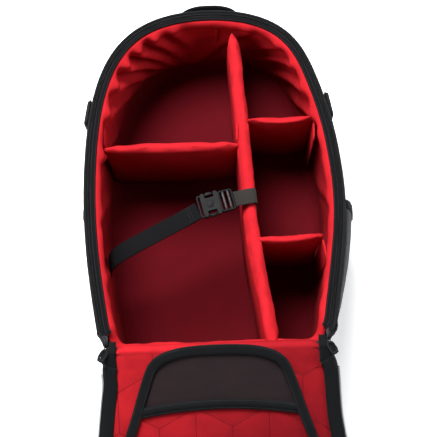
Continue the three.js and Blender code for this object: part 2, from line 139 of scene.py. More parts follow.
def gauss(x, centre, width):
    return np.exp(-(((x - centre) / width) ** 2))


BODY_COUNT = 300
BODY_POINTS, BODY_NORMALS = mirrored_loop(BODY_CURVES, BODY_COUNT)
# The cloth sits a little unevenly: fuller low on the right side, flatter at the right of the crown.
UNEVEN = 4.6 * gauss(BODY_POINTS[:, 1], 175, 85) - 4.4 * gauss(BODY_POINTS[:, 1], 355, 60)
BODY_POINTS[:, 0] += UNEVEN * np.clip((BODY_POINTS[:, 0] - 40) / 90, 0, 1)


def ramp(x, low, high):
    t = np.clip((x - low) / (high - low), 0, 1)
    return t * t * (3 - 2 * t)


def rough(points, scale, seed):
    """Smooth noise from -1 to 1 at each point; scale is the size of its lumps."""
    offset = Vector((seed * 7.3, seed * 3.1, seed * 5.7))
    flat = np.asarray(points, float).reshape(-1, 3)
    values = [noise.noise(Vector(p / scale) + offset) for p in flat]
    return np.array(values).reshape(np.asarray(points).shape[:-1])


def outline(inset):
    """The body's outline at an inset, in x and y."""
    points = BODY_POINTS - BODY_NORMALS * np.reshape(inset, (-1, 1))
    return points + [0, HINGE_Y]


def rim_ring(inset, rise):
    """A ring round the body at an inset, with its height counted from the rim plane."""
    flat = outline(inset)
    return np.c_[flat, rim_z(flat[:, 1]) + rise]


def wall_ring(depth, fraction, extra=0.0):
    """A ring of the wall at a depth behind the outer face; extra moves it further in."""
    belly = np.interp(fraction, *zip(*WALL_LEVELS))
    flat = outline(depth + belly + extra)
    floor = HARNESS + depth
    return np.c_[flat, floor + fraction * (rim_z(flat[:, 1]) - 3 - floor)]


def lid_points(x, s, w):
    """Row points of lid coordinates: s along the lid from the hinge axis, w outward from its lining."""
    x, s, w = np.broadcast_arrays(np.asarray(x, float), s, w)
    cos, sin = math.cos(LID_LEAN), math.sin(LID_LEAN)
    return np.stack([x, HINGE_Y - s * cos + w * sin, HINGE_Z - s * sin - w * cos], -1)


def rounded(width, height, radius, steps=3):
    """A rounded rectangle as a section, centred."""
    corners = []
    for k, (sx, sy) in enumerate(((1, 1), (-1, 1), (-1, -1), (1, -1))):
        for i in range(steps + 1):
            angle = (k + i / steps) * math.pi / 2
            corners.append((sx * (width / 2 - radius) + radius * math.cos(angle),
                            sy * (height / 2 - radius) + radius * math.sin(angle)))
    return np.array(corners)


def circle(radius, count=10):
    angles = np.arange(count) * 2 * math.pi / count
    return np.stack([radius * np.cos(angles), radius * np.sin(angles)], 1)


# ---- Mesh makers ----

def make(name, points, faces, uvs=None, sharp=None):
    mesh = bpy.data.meshes.new(name)
    mesh.from_pydata((np.asarray(points, float).reshape(-1, 3) * MM).tolist(), [], faces)
    if uvs is not None:
        layer = mesh.uv_layers.new(name="weave")
        layer.data.foreach_set("uv", (np.asarray(uvs, float) * MM).ravel())
    tidy = bmesh.new()
    tidy.from_mesh(mesh)
    bmesh.ops.recalc_face_normals(tidy, faces=tidy.faces)
    tidy.to_mesh(mesh)
    tidy.free()
    mesh.shade_smooth()
    if sharp:
        mesh.set_sharp_from_angle(angle=math.radians(sharp))
    made = bpy.data.objects.new(name, mesh)
    bpy.context.scene.collection.objects.link(made)
    return made


def grid_corners(rows, columns):
    """The four corners, as (row, column), of every cell of a grid."""
    return [[(i, j), (i, j + 1), (i + 1, j + 1), (i + 1, j)] for i in range(rows) for j in range(columns)]


def loft(name, rings, joined=False, capped=(0, -1), sharp=None):
    """A surface through closed rings. joined: the last ring meets the first.
    capped: which of the first ring, 0, and the last, -1, are filled in when it isn't joined.
    """
    rings = np.asarray(rings, float)
    rows, columns = rings.shape[:2]
    across = np.linalg.norm(np.roll(rings, -1, 1) - rings, axis=2).mean(0)
    along = np.linalg.norm(np.roll(rings, -1, 0) - rings, axis=2).mean(1)
    across, along = np.r_[0, np.cumsum(across)], np.r_[0, np.cumsum(along)]
    faces, uvs = [], []
    for corners in grid_corners(rows if joined else rows - 1, columns):
        faces.append([(r % rows) * columns + c % columns for r, c in corners])
        uvs += [(along[r], across[c]) for r, c in corners]
    for end in () if joined else capped:
        row = end % rows
        faces.append([row * columns + c for c in range(columns)])
        uvs += [(along[row], across[c]) for c in range(columns)]
    return make(name, rings, faces, uvs, sharp)


def axes_along(path, across, joined=False):
    """A path with its side, up and along directions; across leads the side direction."""
    path = np.asarray(path, float)
    along = np.roll(path, -1, 0) - np.roll(path, 1, 0) if joined else np.gradient(path, axis=0)
    along /= np.linalg.norm(along, axis=1)[:, None]
    lead = np.broadcast_to(np.asarray(across, float), path.shape)
    side = lead - (lead * along).sum(1)[:, None] * along
    side /= np.linalg.norm(side, axis=1)[:, None]
    return path, side, np.cross(side, along), along


def sweep(name, path, section, across=(0, 0, 1), joined=False):
    """A section, in (side, up), swept along a path; across is the side's direction."""
    path, side, up, _ = axes_along(path, across, joined)
    section = np.asarray(section, float)
    if section.ndim == 2:
        section = np.broadcast_to(section, (len(path), *section.shape))
    rings = path[:, None] + section[..., :1] * side[:, None] + section[..., 1:] * up[:, None]
    return loft(name, rings, joined)


def join(name, parts):
    """Several mesh objects made into one, which keeps the first one's place in the scene."""
    bpy.ops.object.select_all(action="DESELECT")
    for part in parts:
        part.select_set(True)
    bpy.context.view_layer.objects.active = parts[0]
    bpy.ops.object.join()
    parts[0].name = name
    return parts[0]


def copies(name, template, places, sides, ups, alongs):
    """Copies of a small solid, (points, faces), at places, each turned to its own axes."""
    points, faces = template
    points = np.asarray(points, float)
    turned = (places[:, None] + points[None, :, :1] * sides[:, None]
              + points[None, :, 1:2] * alongs[:, None] + points[None, :, 2:] * ups[:, None])
    count = len(points)
    every = [[index + k * count for index in face] for k in range(len(places)) for face in faces]
    return make(name, turned, every)


def bead(side, along, up):
    """A small rounded lozenge: a template for zip teeth and stitches."""
    rings, faces = [], []
    for y, grow in ((-1, 0.45), (-0.6, 1), (0.6, 1), (1, 0.45)):
        for x, z in ((-1, -0.5), (-0.5, -1), (0.5, -1), (1, -0.5), (1, 0.5), (0.5, 1), (-0.5, 1), (-1, 0.5)):
            rings.append((x * grow * side / 2, y * along / 2, z * grow * up / 2))
    for i in range(3):
        for j in range(8):
            faces.append([i * 8 + j, i * 8 + (j + 1) % 8, (i + 1) * 8 + (j + 1) % 8, (i + 1) * 8 + j])
    return rings, [*faces, list(range(7, -1, -1)), list(range(24, 32))]


def spaced_axes(path, pitch, across):
    """Places a pitch apart along a path, with their side, up and along directions."""
    path = np.asarray(path, float)
    lead = np.broadcast_to(np.asarray(across, float), path.shape)
    lengths = lengths_along(path)
    at = np.linspace(0, lengths[-1], max(2, int(lengths[-1] / pitch)))
    even = [np.stack([np.interp(at, lengths, column) for column in rows.T], 1) for rows in (path, lead)]
    return axes_along(*even)


def bead_row(name, path, across, pitch, size):
    """Beads of one size, (side, along, up), a pitch apart along a path."""
    return copies(name, bead(*size), *spaced_axes(path, pitch, across))


def teeth(name, path, across, width=3.2, pitch=1.7):
    """The coil teeth of a zip along a path."""
    return bead_row(name, path, across, pitch, (width, pitch * 0.62, 1.5))


def stitches(name, path, across, body, pitch=3.6):
    """A line of lockstitches along a path."""
    made = bead_row(name, path, across, pitch, (0.65, pitch * 0.7, 0.55))
    return piece(made, THREAD, body, "black_binding")


def apply_modifiers(made):
    graph = bpy.context.evaluated_depsgraph_get()
    mesh = bpy.data.meshes.new_from_object(made.evaluated_get(graph), depsgraph=graph)
    made.modifiers.clear()
    made.data = mesh
    return made


def subdivide(made):
    modifier = made.modifiers.new("smooth", "SUBSURF")
    modifier.levels = modifier.render_levels = 1
    return apply_modifiers(made)


def solidify(made, thickness):
    modifier = made.modifiers.new("thickness", "SOLIDIFY")
    modifier.thickness = thickness * MM
    modifier.offset = -1.0
    return apply_modifiers(made)


def coordinates(made):
    flat = np.zeros(len(made.data.vertices) * 3)
    made.data.vertices.foreach_get("co", flat)
    return flat.reshape(-1, 3) / MM


def set_coordinates(made, points):
    made.data.vertices.foreach_set("co", (np.asarray(points) * MM).ravel())
    made.data.update()


def puff(made, voxel=4.0, cap=5.0, pressure=4.0, frames=20):
    """Cloth inflated by pressure, with the move of each point capped, then one subdivision."""
    remesh = made.modifiers.new("remesh", "REMESH")
    remesh.mode = "VOXEL"
    remesh.voxel_size = voxel * MM
    apply_modifiers(made)
    before = coordinates(made)
    cloth = made.modifiers.new("cloth", "CLOTH")
    cloth.settings.quality = 4
    cloth.settings.use_pressure = True
    cloth.settings.uniform_pressure_force = pressure
    cloth.settings.effector_weights.gravity = 0
    cloth.settings.tension_stiffness = cloth.settings.compression_stiffness = 20
    scene = bpy.context.scene
    for number in range(1, frames + 1):
        scene.frame_set(number)
    graph = bpy.context.evaluated_depsgraph_get()
    mesh = made.evaluated_get(graph).to_mesh()
    flat = np.zeros(len(mesh.vertices) * 3)
    mesh.vertices.foreach_get("co", flat)
    made.evaluated_get(graph).to_mesh_clear()
    made.modifiers.clear()
    move = flat.reshape(-1, 3) / MM - before
    size = np.linalg.norm(move, axis=1)[:, None]
    set_coordinates(made, before + move * np.minimum(1, cap / np.maximum(size, 1e-6)))
    scene.frame_set(1)
    subdivide(made)
    made.data.shade_smooth()
    return made


def dress(made, material, nodes):
    """Gives a piece its material and the frame's nodes that it replaces."""
    made.data.materials.clear()
    made.data.materials.append(material)
    if nodes:
        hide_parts(*nodes)
    return made


def piece(made, material, body, slot, *nodes):
    """A piece that rides on one body."""
    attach(made, body)
    return dress(made, material, nodes)


# ---- Materials ----

class Val:
    """A number in a node tree, with arithmetic that adds Math nodes."""

    def __init__(self, tree, socket):
        self.tree, self.socket = tree, socket

    def op(self, operation, *others):
        node = self.tree.nodes.new("ShaderNodeMath")
        node.operation = operation
        for slot, value in zip(node.inputs, (self, *others)):
            if isinstance(value, Val):
                self.tree.links.new(value.socket, slot)
            else:
                slot.default_value = value
        return Val(self.tree, node.outputs[0])

    def __add__(self, other):
        return self.op("ADD", other)

    def __sub__(self, other):
        return self.op("SUBTRACT", other)

    def __mul__(self, other):
        return self.op("MULTIPLY", other)

    def between(self, low, high):
        node = self.tree.nodes.new("ShaderNodeMapRange")
        node.interpolation_type = "SMOOTHSTEP"
        node.inputs["From Min"].default_value = low
        node.inputs["From Max"].default_value = high
        self.tree.links.new(self.socket, node.inputs["Value"])
        return Val(self.tree, node.outputs["Result"])


class Surface:
    """A Principled material under construction."""

    def __init__(self, name, roughness, metallic=0.0, sheen=0.0, tint=(1, 1, 1), specular=0.5):
        self.material = bpy.data.materials.new(name)
        self.material.use_nodes = True
        self.tree = self.material.node_tree
        self.shader = self.tree.nodes["Principled BSDF"]
        for socket, value in (("Roughness", roughness), ("Metallic", metallic), ("Sheen Weight", sheen),
                              ("Sheen Roughness", 0.45), ("Sheen Tint", (*tint, 1)),
                              ("Specular IOR Level", specular)):
            self.shader.inputs[socket].default_value = value
        self.where = self.tree.nodes.new("ShaderNodeTexCoord")

    def position(self, kind="Object", scale=1.0):
        """x, y and z in units of scale metres."""
        split = self.tree.nodes.new("ShaderNodeSeparateXYZ")
        self.tree.links.new(self.where.outputs[kind], split.inputs[0])
        return [Val(self.tree, output) * (1 / scale) for output in split.outputs]

    def noise(self, size, detail=2.0, roughness=0.5):
        node = self.tree.nodes.new("ShaderNodeTexNoise")
        node.inputs["Scale"].default_value = 1 / size
        node.inputs["Detail"].default_value = detail
        node.inputs["Roughness"].default_value = roughness
        self.tree.links.new(self.where.outputs["Object"], node.inputs["Vector"])
        return Val(self.tree, node.outputs["Fac"])

    def cells(self, size):
        """Distance to the nearest of a scatter of points about size metres apart."""
        node = self.tree.nodes.new("ShaderNodeTexVoronoi")
        node.inputs["Scale"].default_value = 1 / size
        self.tree.links.new(self.where.outputs["Object"], node.inputs["Vector"])
        return Val(self.tree, node.outputs["Distance"])

    def threads(self, pitch):
        """Sine waves along the mesh's two weave coordinates."""
        u, v, _ = self.position("UV", pitch)
        return (u * math.pi).op("SINE"), (v * math.pi).op("SINE")

    def weave(self, pitch):
        """Height of a plain weave in the mesh's own weave coordinates."""
        warp, weft = self.threads(pitch)
        over = (warp * weft).between(-0.3, 0.3)
        return warp.op("ABSOLUTE") * over + weft.op("ABSOLUTE") * (over * -1 + 1)

    def ribs(self, pitch, axis=0):
        value = self.position("UV", pitch)[axis]
        return (value * (2 * math.pi)).op("SINE") * 0.5 + 0.5

    def colour(self, dark, light, amount):
        """Colour mixed from dark to light by amount."""
        mix = self.tree.nodes.new("ShaderNodeMix")
        mix.data_type = "RGBA"
        mix.inputs["A"].default_value = (*dark, 1)
        mix.inputs["B"].default_value = (*light, 1)
        self.tree.links.new(amount.socket, mix.inputs["Factor"])
        self.tree.links.new(mix.outputs["Result"], self.shader.inputs["Base Color"])
        return self

    def roughness(self, low, high, amount):
        value = amount * (high - low) + low
        self.tree.links.new(value.socket, self.shader.inputs["Roughness"])
        return self

    def bump(self, height, distance, strength=1.0):
        node = self.tree.nodes.new("ShaderNodeBump")
        node.inputs["Distance"].default_value = distance
        node.inputs["Strength"].default_value = strength
        self.tree.links.new(height.socket, node.inputs["Height"])
        self.tree.links.new(node.outputs["Normal"], self.shader.inputs["Normal"])
        return self


COOL = (0.8, 0.8, 0.85)  # tint of the sheen on black cloth


def woven(name, dark, light, pitch, sheen=0.15):
    """A plain weave with uneven threads and slight fading."""
    s = Surface(name, 0.9, sheen=sheen, tint=COOL, specular=0.2)
    weave, patches = s.weave(pitch), s.noise(0.03, 3)
    s.colour(dark, light, weave * 0.55 + patches * 0.6 - 0.1)
    s.roughness(0.7, 0.9, patches)
    return s.bump(weave + s.noise(0.0012) * 0.5, 0.0004, 0.8).material


RED_DARK, RED_LIGHT = (0.055, 0.0015, 0.0045), (0.64, 0.017, 0.025)


def red_fabric(name, painted_shade, dark=RED_DARK, light=RED_LIGHT):
    """Brushed red lining: a short nap with soft mottling. The function passed in scales its brightness, which
    paints in shade.
    """
    s = Surface(name, 0.9, specular=0.08)
    nap = s.noise(0.0009, 2, roughness=0.7)
    mottle = s.noise(0.022, 4)
    s.colour(dark, light, (nap * 0.35 + mottle * 0.4 + 0.28) * painted_shade(s))
    s.roughness(0.82, 0.95, mottle)
    return s.bump(nap + s.noise(0.006, 2) * 0.6, 0.0005, 0.7).material


def painted_depth_shade(s):
    """Painted shade: darker with depth below the rim plane and darkest near the floor, where the inside of the
    bag lies in shade.
    """
    _, y, z = s.position()
    depth = (z + y * RIM_FALL).between(0.040, 0.175) * 0.78 + 0.22
    return depth * (z.between(0.034, 0.060) * 0.6 + 0.4)


def painted_lid_shade(s):
    """Painted shade: the lid looks darker towards the right and the far end, where it turns away from the
    light.
    """
    x, y, _ = s.position()
    return (x * -1).between(-0.11, 0.13) * 0.45 + y.between(-0.36, -0.24) * 0.30 + 0.30


def moulded(name, colour, roughness=(0.5, 0.68)):
    """Injection moulded plastic with a fine spark texture and rubbed places."""
    s = Surface(name, roughness[0], specular=0.14)
    grain, wear = s.noise(0.0006, 2), s.noise(0.012, 4)
    s.colour(colour, tuple(c * 2 + 0.001 for c in colour), wear.between(0.45, 0.8) * 0.6)
    s.roughness(*roughness, wear)
    return s.bump(grain, 0.0001, 0.5).material


def metal(name, colour):
    """Dark plated metal, worn brighter in patches."""
    s = Surface(name, 0.3, metallic=1.0)
    wear = s.noise(0.003, 4)
    s.colour(colour, tuple(min(1, c * 1.7) for c in colour), wear)
    s.roughness(0.4, 0.6, wear)
    return s.bump(s.noise(0.0005), 0.00005, 0.4).material


def ribbed(name, dark, light, pitch, sheen=0.1, axis=0):
    """Grosgrain or webbing: ribs across the strip over a finer weave."""
    s = Surface(name, 0.85, sheen=sheen, tint=COOL, specular=0.08)
    ribs, weave, patches = s.ribs(pitch * MM, axis), s.weave(pitch * MM * 0.5), s.noise(0.02, 3)
    height = ribs * 0.7 + weave * 0.3
    s.colour(dark, light, height * 0.6 + patches * 0.5 - 0.1)
    s.roughness(0.75, 0.95, patches)
    return s.bump(height, 0.0003, 0.8).material


def air_mesh(name, dark, light):
    """Spacer mesh: round holes over a darker base."""
    s = Surface(name, 0.85, sheen=0.2, tint=COOL, specular=0.3)
    holes = s.cells(0.0026).between(0.25, 0.5)
    s.colour(light, dark, holes * -1 + 1)
    s.roughness(0.7, 0.95, s.noise(0.02))
    return s.bump(holes, 0.0005, 0.7).material


def pocket_mesh(name):
    """Fine stretch mesh with the red behind it showing faintly through its holes."""
    s = Surface(name, 0.8, sheen=0.1, tint=(0.7, 0.5, 0.5), specular=0.25)
    warp, weft = s.threads(0.0010)
    holes = (warp.op("ABSOLUTE") * weft.op("ABSOLUTE")).between(0.3, 0.8)
    s.colour((0.006, 0.0035, 0.0045), (0.024, 0.010, 0.012), holes * 0.5 + s.noise(0.03, 3) * 0.5 - 0.05)
    return s.bump(holes * -1, 0.0002, 0.4).material


SHELL = woven("shell_weave", (0.005, 0.005, 0.006), (0.022, 0.022, 0.024), 0.0011)
STRETCH = woven("stretch_weave", (0.005, 0.005, 0.006), (0.020, 0.020, 0.022), 0.0008, 0.18)
# The body's lining carries painted shade, darker with depth.
RED = red_fabric("red_lining", painted_depth_shade)
# The lid's lining and its quilt seams carry painted shade towards the right and the far end.
RED_LID = red_fabric("red_lid_lining", painted_lid_shade)
SEAM = red_fabric("quilt_seam", painted_lid_shade, (0.09, 0.005, 0.007), (0.17, 0.008, 0.010))
GROSGRAIN = ribbed("grosgrain", (0.003, 0.003, 0.0035), (0.010, 0.011, 0.012), 1.0, 0.04)
WEBBING = ribbed("webbing_weave", (0.0015, 0.0015, 0.002), (0.008, 0.008, 0.009), 1.5, 0.0)
WEBBING_GREY = ribbed("faded_webbing", (0.010, 0.009, 0.008), (0.042, 0.037, 0.034), 1.5, 0.08)
# A much lighter copy of the webbing, used as a painted highlight on the handle.
HANDLE_PAINTED_HIGHLIGHT = ribbed("handle_painted_highlight_weave", (0.006, 0.006, 0.007), (0.10, 0.10, 0.105), 2.2, 0.1)
BINDING = ribbed("binding_tape", (0.004, 0.0045, 0.005), (0.016, 0.017, 0.018), 0.9, 0.04)
RIM_BAND = ribbed("rim_band_weave", (0.0015, 0.0015, 0.002), (0.008, 0.008, 0.009), 0.9, 0.02)
TAPE = ribbed("zip_tape_weave", (0.003, 0.003, 0.004), (0.010, 0.010, 0.011), 0.7, 0.05, axis=1)
COIL = moulded("coil_nylon", (0.010, 0.010, 0.011), (0.35, 0.5))
PLASTIC = moulded("buckle_acetal", (0.0035, 0.0035, 0.004))
# The buckle's grip bars: glossier plastic, with a lighter colour that is a painted highlight.
BAR_PAINTED_HIGHLIGHT = moulded("buckle_bar", (0.03, 0.03, 0.032), (0.16, 0.28))
METAL = metal("gunmetal", (0.010, 0.010, 0.011))
THREAD = ribbed("bonded_thread", (0.012, 0.012, 0.013), (0.05, 0.05, 0.055), 0.4)
PAD = air_mesh("spacer_mesh", (0.005, 0.005, 0.006), (0.028, 0.028, 0.030))
POCKET_MESH = pocket_mesh("lid_pocket_mesh")


# ---- Camera, lights and floor ----

def look(made, place, forward, up):
    """Places a camera or light so that it faces forward."""
    forward, up = Vector(forward).normalized(), Vector(up).normalized()
    right = forward.cross(up).normalized()
    up = right.cross(forward)
    made.matrix_world = Matrix((
        (right.x, up.x, -forward.x, place[0] * MM),
        (right.y, up.y, -forward.y, place[1] * MM),
        (right.z, up.z, -forward.z, place[2] * MM),
        (0, 0, 0, 1),
    ))


def camera():
    """Nearly overhead, from the hinge side, rolled two degrees."""
    tilt, roll, distance = math.radians(15.4), math.radians(2.07), 1100.0
    target = np.array([6.56, -70.0, rim_z(-70.0)])
    forward = np.array([0, math.sin(tilt), -math.cos(tilt)])
    straight = np.array([0, math.cos(tilt), math.sin(tilt)])
    up = straight * math.cos(roll) + np.array([1.0, 0, 0]) * math.sin(roll)
    data = bpy.data.cameras.new("camera")
    data.sensor_width = 36.0
    data.lens = 74.14
    made = bpy.data.objects.new("camera", data)
    bpy.context.scene.collection.objects.link(made)
    look(made, target - distance * forward, forward, up)
    bpy.context.scene.camera = made


def area_light(name, place, target, size, power):
    data = bpy.data.lights.new(name, "AREA")
    data.shape = "DISK"
    data.size = size
    data.energy = power
    made = bpy.data.objects.new(name, data)
    bpy.context.scene.collection.objects.link(made)
    forward = np.array(target, float) - place
    look(made, place, forward, (0, 1, 0.01))


def studio():
    camera()
    area_light("key", (-420, 900, 2100), (0, 0, 150), 1.1, 102)
    area_light("fill_left", (-1900, -300, 1500), (0, 0, 100), 1.4, 20)
    area_light("fill_right", (1900, 100, 1500), (0, 0, 100), 1.4, 24)
    world = bpy.data.worlds.new("studio")
    world.use_nodes = True
    world.node_tree.nodes["Background"].inputs["Color"].default_value = (0.82, 0.89, 1, 1)
    world.node_tree.nodes["Background"].inputs["Strength"].default_value = 0.11
    bpy.context.scene.world = world
    bpy.context.scene.view_settings.view_transform = "Standard"
    half, low = 40000.0, -0.3
    corners = [(x * half, y * half, low) for x, y in ((-1, -1), (1, -1), (1, 1), (-1, 1))]
    floor = make("floor", corners, [[0, 1, 2, 3]])
    s = Surface("floor_paper", 0.9, specular=0.2)
    s.colour((0.86, 0.86, 0.86), (0.90, 0.90, 0.90), s.noise(0.4, 2))
    s.shader.inputs["Emission Color"].default_value = (1, 1, 1, 1)
    s.shader.inputs["Emission Strength"].default_value = 0.45
    floor.data.materials.append(s.material)


studio()

# ---- The body's walls and rim ----
CORNER = 31  # point of the outline at the middle of the hinge corner
STEPS_DOWN = 16


def run_of(ring, start=CORNER):
    """The part of a body ring from one hinge corner over the top to the other."""
    return ring[start:BODY_COUNT - start + 1]


def normals_run(start=CORNER):
    """Outward normals, level, along the same part of the body's outline."""
    flat = run_of(BODY_NORMALS, start)
    return np.c_[flat, np.zeros(len(flat))]


def wrinkled(points, amount, size, seed, stretch=(1, 1, 1)):
    """Noise displacement for every point, in mm."""
    return amount * rough(np.asarray(points) * stretch, size, seed)


def bag_shell():
    """The outer cloth of the walls, turned in at the rim, with the base behind it."""
    rings = []
    for f in np.linspace(0, 1, STEPS_DOWN):
        ring = wall_ring(0, f)
        sag = wrinkled(ring, 1.3, 55, 1, (1, 1, 0.5)) + wrinkled(ring, 0.5, 16, 2)
        seam = -1.2 * gauss(f, 0.1, 0.012)
        ring[:, :2] += BODY_NORMALS * ((sag - 0.6) * min(1, 6 * f * (1.02 - f)) + seam)[:, None]
        rings.append(ring)
    rings = [wall_ring(2, 0), *rings, wall_ring(1.2, 1.012), wall_ring(3.2, 1.0), wall_ring(3.2, 0.5)]
    made = loft("bag_shell", rings, capped=())
    base = loft("bag_shell_base", [wall_ring(2, 0), wall_ring(2, 0) + [0, 0, 1.5]])
    piece(join("bag_shell", [made, base]), SHELL, "bag", "shell_fabric", "outer_shell")


def shell_seams():
    """Piped seams where the side panels meet the back panel, and down the walls."""
    low = wall_ring(-0.9, 0.07)
    made = [sweep("seam_low", low, circle(1.5, 8), (0, 0, 1), joined=True)]
    for index in (52, 112, 188, 248):
        line = np.array([wall_ring(-0.4, f)[index] for f in np.linspace(0.08, 0.98, 14)])
        x, y = BODY_NORMALS[index]
        made.append(sweep("seam", line, rounded(5, 1.3, 0.5), (-y, x, 0)))
    piece(join("shell_seam_binding", made), BINDING, "bag", "black_binding")


def rim_parts():
    """The piping, the zip's tape and teeth, and the stitched band round the rim."""
    side = normals_run()
    piping = sweep("rim_piping_cord", run_of(rim_ring(1.9, -1.1)), circle(1.9, 12), side)
    piece(piping, BINDING, "bag", "black_binding", "rim_piping")
    tape = sweep("zip_tape", run_of(rim_ring(5.6, -2.0)), rounded(6.4, 1.3, 0.5), side)
    piece(tape, TAPE, "bag", "black_binding", "body_zip_tape")
    coil = teeth("zip_teeth", run_of(rim_ring(5.6, -0.5), CORNER + 2), normals_run(CORNER + 2))
    piece(coil, COIL, "bag", "zip_coil", "body_zip_coil")
    section = [(-3.3, -1.2), (3.3, -1.2), (3.5, -0.3), (2.9, 0.55), (1.2, 0.9), (-1.2, 0.8), (-2.9, 0.4),
               (-3.5, -0.3)]
    line = rim_ring(11.4, -1.1)
    line[:, 2] += wrinkled(line, 0.5, 30, 4)
    band = sweep("rim_grosgrain", run_of(line), section, side)
    piece(band, RIM_BAND, "bag", "black_binding", "rim_band")
    for name, inset in (("outer", 9.1), ("inner", 13.7)):
        stitches(f"rim_stitch_{name}", run_of(rim_ring(inset, -0.45)), side, "bag")


# ---- The red lining of the body ----
LIP = [(10.5, -4.0), (11.5, -3.0), (14.2, -2.8), (15.8, -3.2), (17.6, -4.6), (19.2, -6.8), (20.2, -9.4),
       (20.4, -12.4), (19.6, -16)]  # inset and rise
HINGE_DROP = 17.0  # the lip is this much lower along the hinge, under the lid's lining
HINGE_WALL = 8.5  # how much thinner the padding is along the hinge
TUCKS = [  # point of the outline, slant towards the floor and size
    (66, 20, 3.0), (92, 26, 6.0), (101, 30, 6.5), (110, 34, 6.0), (120, 30, 4.5), (133, 26, 4.0),
    (163, -16, 7.0), (171, -20, 12.0), (179, -24, 15.0), (187, -28, 16.0), (196, -30, 14.0), (206, -30, 11.0),
    (219, -26, 7.0), (236, -20, 4.0), (255, -20, 3.0),
]


def hinge_mask():
    """1 along the hinge edge, falling to 0 at the hinge corners."""
    index = np.minimum(np.arange(BODY_COUNT), BODY_COUNT - np.arange(BODY_COUNT))
    return 1 - ramp(index, 24, 34)


def tuck(fraction):
    """How far slanting tucks push the wall inward at a fraction of its height."""
    index, push = np.arange(BODY_COUNT), np.zeros(BODY_COUNT)
    depth = 1 - fraction
    for centre, slant, size in TUCKS:
        at = centre + slant * depth
        ridge = gauss(index, at, 1.5 + 3.2 * depth) - 0.5 * gauss(index, at - math.copysign(3.4, slant), 1.8)
        push += size * ridge * ramp(depth, 0.03, 0.16) * (1 - ramp(depth, 0.55, 1))
    return push


def bag_lining():
    """The red tub: its lip inside the rim band, its tucked walls and its floor."""
    mask, rings = hinge_mask(), []
    for inset, rise in LIP:
        ring = rim_ring(inset - HINGE_WALL * mask, rise - HINGE_DROP * mask)
        size = ramp(inset, 13, 20)
        push = (wrinkled(ring, 1.7, 30, 6) + wrinkled(ring, 0.8, 12, 7)) * size
        push += 0.6 * tuck(0.86) * ramp(-rise, 2.6, 13)
        ring[:, :2] -= BODY_NORMALS * push[:, None]
        ring[:, 2] += (wrinkled(ring, 1.1, 22, 8) + wrinkled(ring, 0.5, 9, 12)) * size
        rings.append(ring)
    for fraction in np.linspace(0.90, 0.0, 26):
        ring = wall_ring(LINING_DEPTH, fraction, 0.8 - HINGE_WALL * mask)
        ring[:, 2] = np.minimum(ring[:, 2], rim_z(ring[:, 1]) - 19 - HINGE_DROP * mask)
        push = tuck(fraction) + wrinkled(ring, 1.6, 42, 9) + wrinkled(ring, 0.6, 13, 10)
        push *= 1 - 0.7 * mask
        push += 6 * (1 - ramp(fraction, 0, 0.09))
        ring[:, :2] -= BODY_NORMALS * push[:, None]
        rings.append(ring)
    foot = rings[-1][:, :2]
    for scale in (0.97, 0.9, 0.75, 0.5, 0.2):
        flat = foot * scale
        rings.append(np.c_[flat, FLOOR_Z - 0.6 + wrinkled(np.c_[flat, flat[:, :1] * 0], 0.6, 40, 11)])
    made = loft("bag_lining", rings, capped=(-1,))
    piece(made, RED, "bag", "red_lining", "lining_tub", "wall_foam")


def flap_seam():
    """The seam of the flap on the wall at the handle end."""
    index = BODY_COUNT // 2 - 3
    line = np.array([wall_ring(LINING_DEPTH + 1.6, f, 0.8)[index] for f in np.linspace(0.86, 0.1, 24)])
    flap = sweep("flap_seam", line, rounded(3.2, 1.6, 0.6), (1, 0, 0))
    piece(flap, RED, "bag", "red_lining")


bag_shell()
shell_seams()
rim_parts()
bag_lining()
flap_seam()

# ---- Dividers ----
LONG_LINE = [(66, -226), (57, -150), (47.5, -92), (45, -20), (41, 75), (37.5, 150), (34.5, 206)]


def wall_section(centre, side, half, bottom, top):
    """A padded board's upright section: centre (x, y), the unit side vector, and its height range."""
    points = []
    height = bottom + (top - bottom) * 0.5
    swell = (top - bottom) / 2 - half
    for u, v in rounded(2, 2, 0.55, 4):
        lift = v * half + math.copysign(swell, v) if abs(v) > 1e-6 else 0
        points.append((centre[0] + side[0] * u * half, centre[1] + side[1] * u * half, height + lift))
    return points


def board(name, line, half, bottom, top, square=0):
    """A padded board standing along a line. top gives its height at a point.
    square: how many points sooner its first end is at its full thickness.
    """
    line = np.asarray(line, float)
    along = np.gradient(line, axis=0)
    side = np.stack([along[:, 1], -along[:, 0]], 1) / np.linalg.norm(along, axis=1)[:, None]
    taper = np.minimum(np.arange(len(line)) + square, len(line) - 1 - np.arange(len(line)))
    rings = []
    for i, point in enumerate(line):
        grow = 0.55 + 0.45 * min(1, taper[i] / 2)
        high = top(point)
        rings.append(wall_section(point, side[i], half * grow, bottom, high - (1 - grow) * 6))
    return loft(name, rings)


def padded_piece(made, material, body, slot, fill, *nodes):
    piece(made, material, body, slot, *nodes)


def long_divider():
    line = smooth(LONG_LINE, 8)
    made = board("long_divider_pad", line, 6.0, FLOOR_Z + 1.5, lambda p: rim_z(p[1]) - DIVIDER_DROP - 1.2, 2)
    puff(made, voxel=5.0, cap=3.2, pressure=3.0, frames=14)
    points = coordinates(made)
    top = rim_z(points[:, 1]) - DIVIDER_DROP
    near = ramp(points[:, 2], top - 90, top)
    points[:, 0] += wrinkled(points, 1.3, 45, 21, (1, 1, 1.4)) + wrinkled(points, 0.6, 12, 22) * near
    points[:, 2] += wrinkled(points, 1.0, 60, 23) * near
    set_coordinates(made, points)
    padded_piece(made, RED, "bag", "red_lining", 0.7, "long_divider")


CROSS = {
    # name: body, y, (x at the far wall, x at the long divider), wing direction, wing leans
    "left": ("divider_left", 38.0, (-141.0, 37.0), 1, (0.02, 0.04)),
    "upper_right": ("divider_upper_right", 72.0, (138.5, 46.0), -1, (-0.06, -0.04)),
    "lower_right": ("divider_lower_right", -92.0, (137.5, 53.5), -1, (0.13, -0.18)),
}


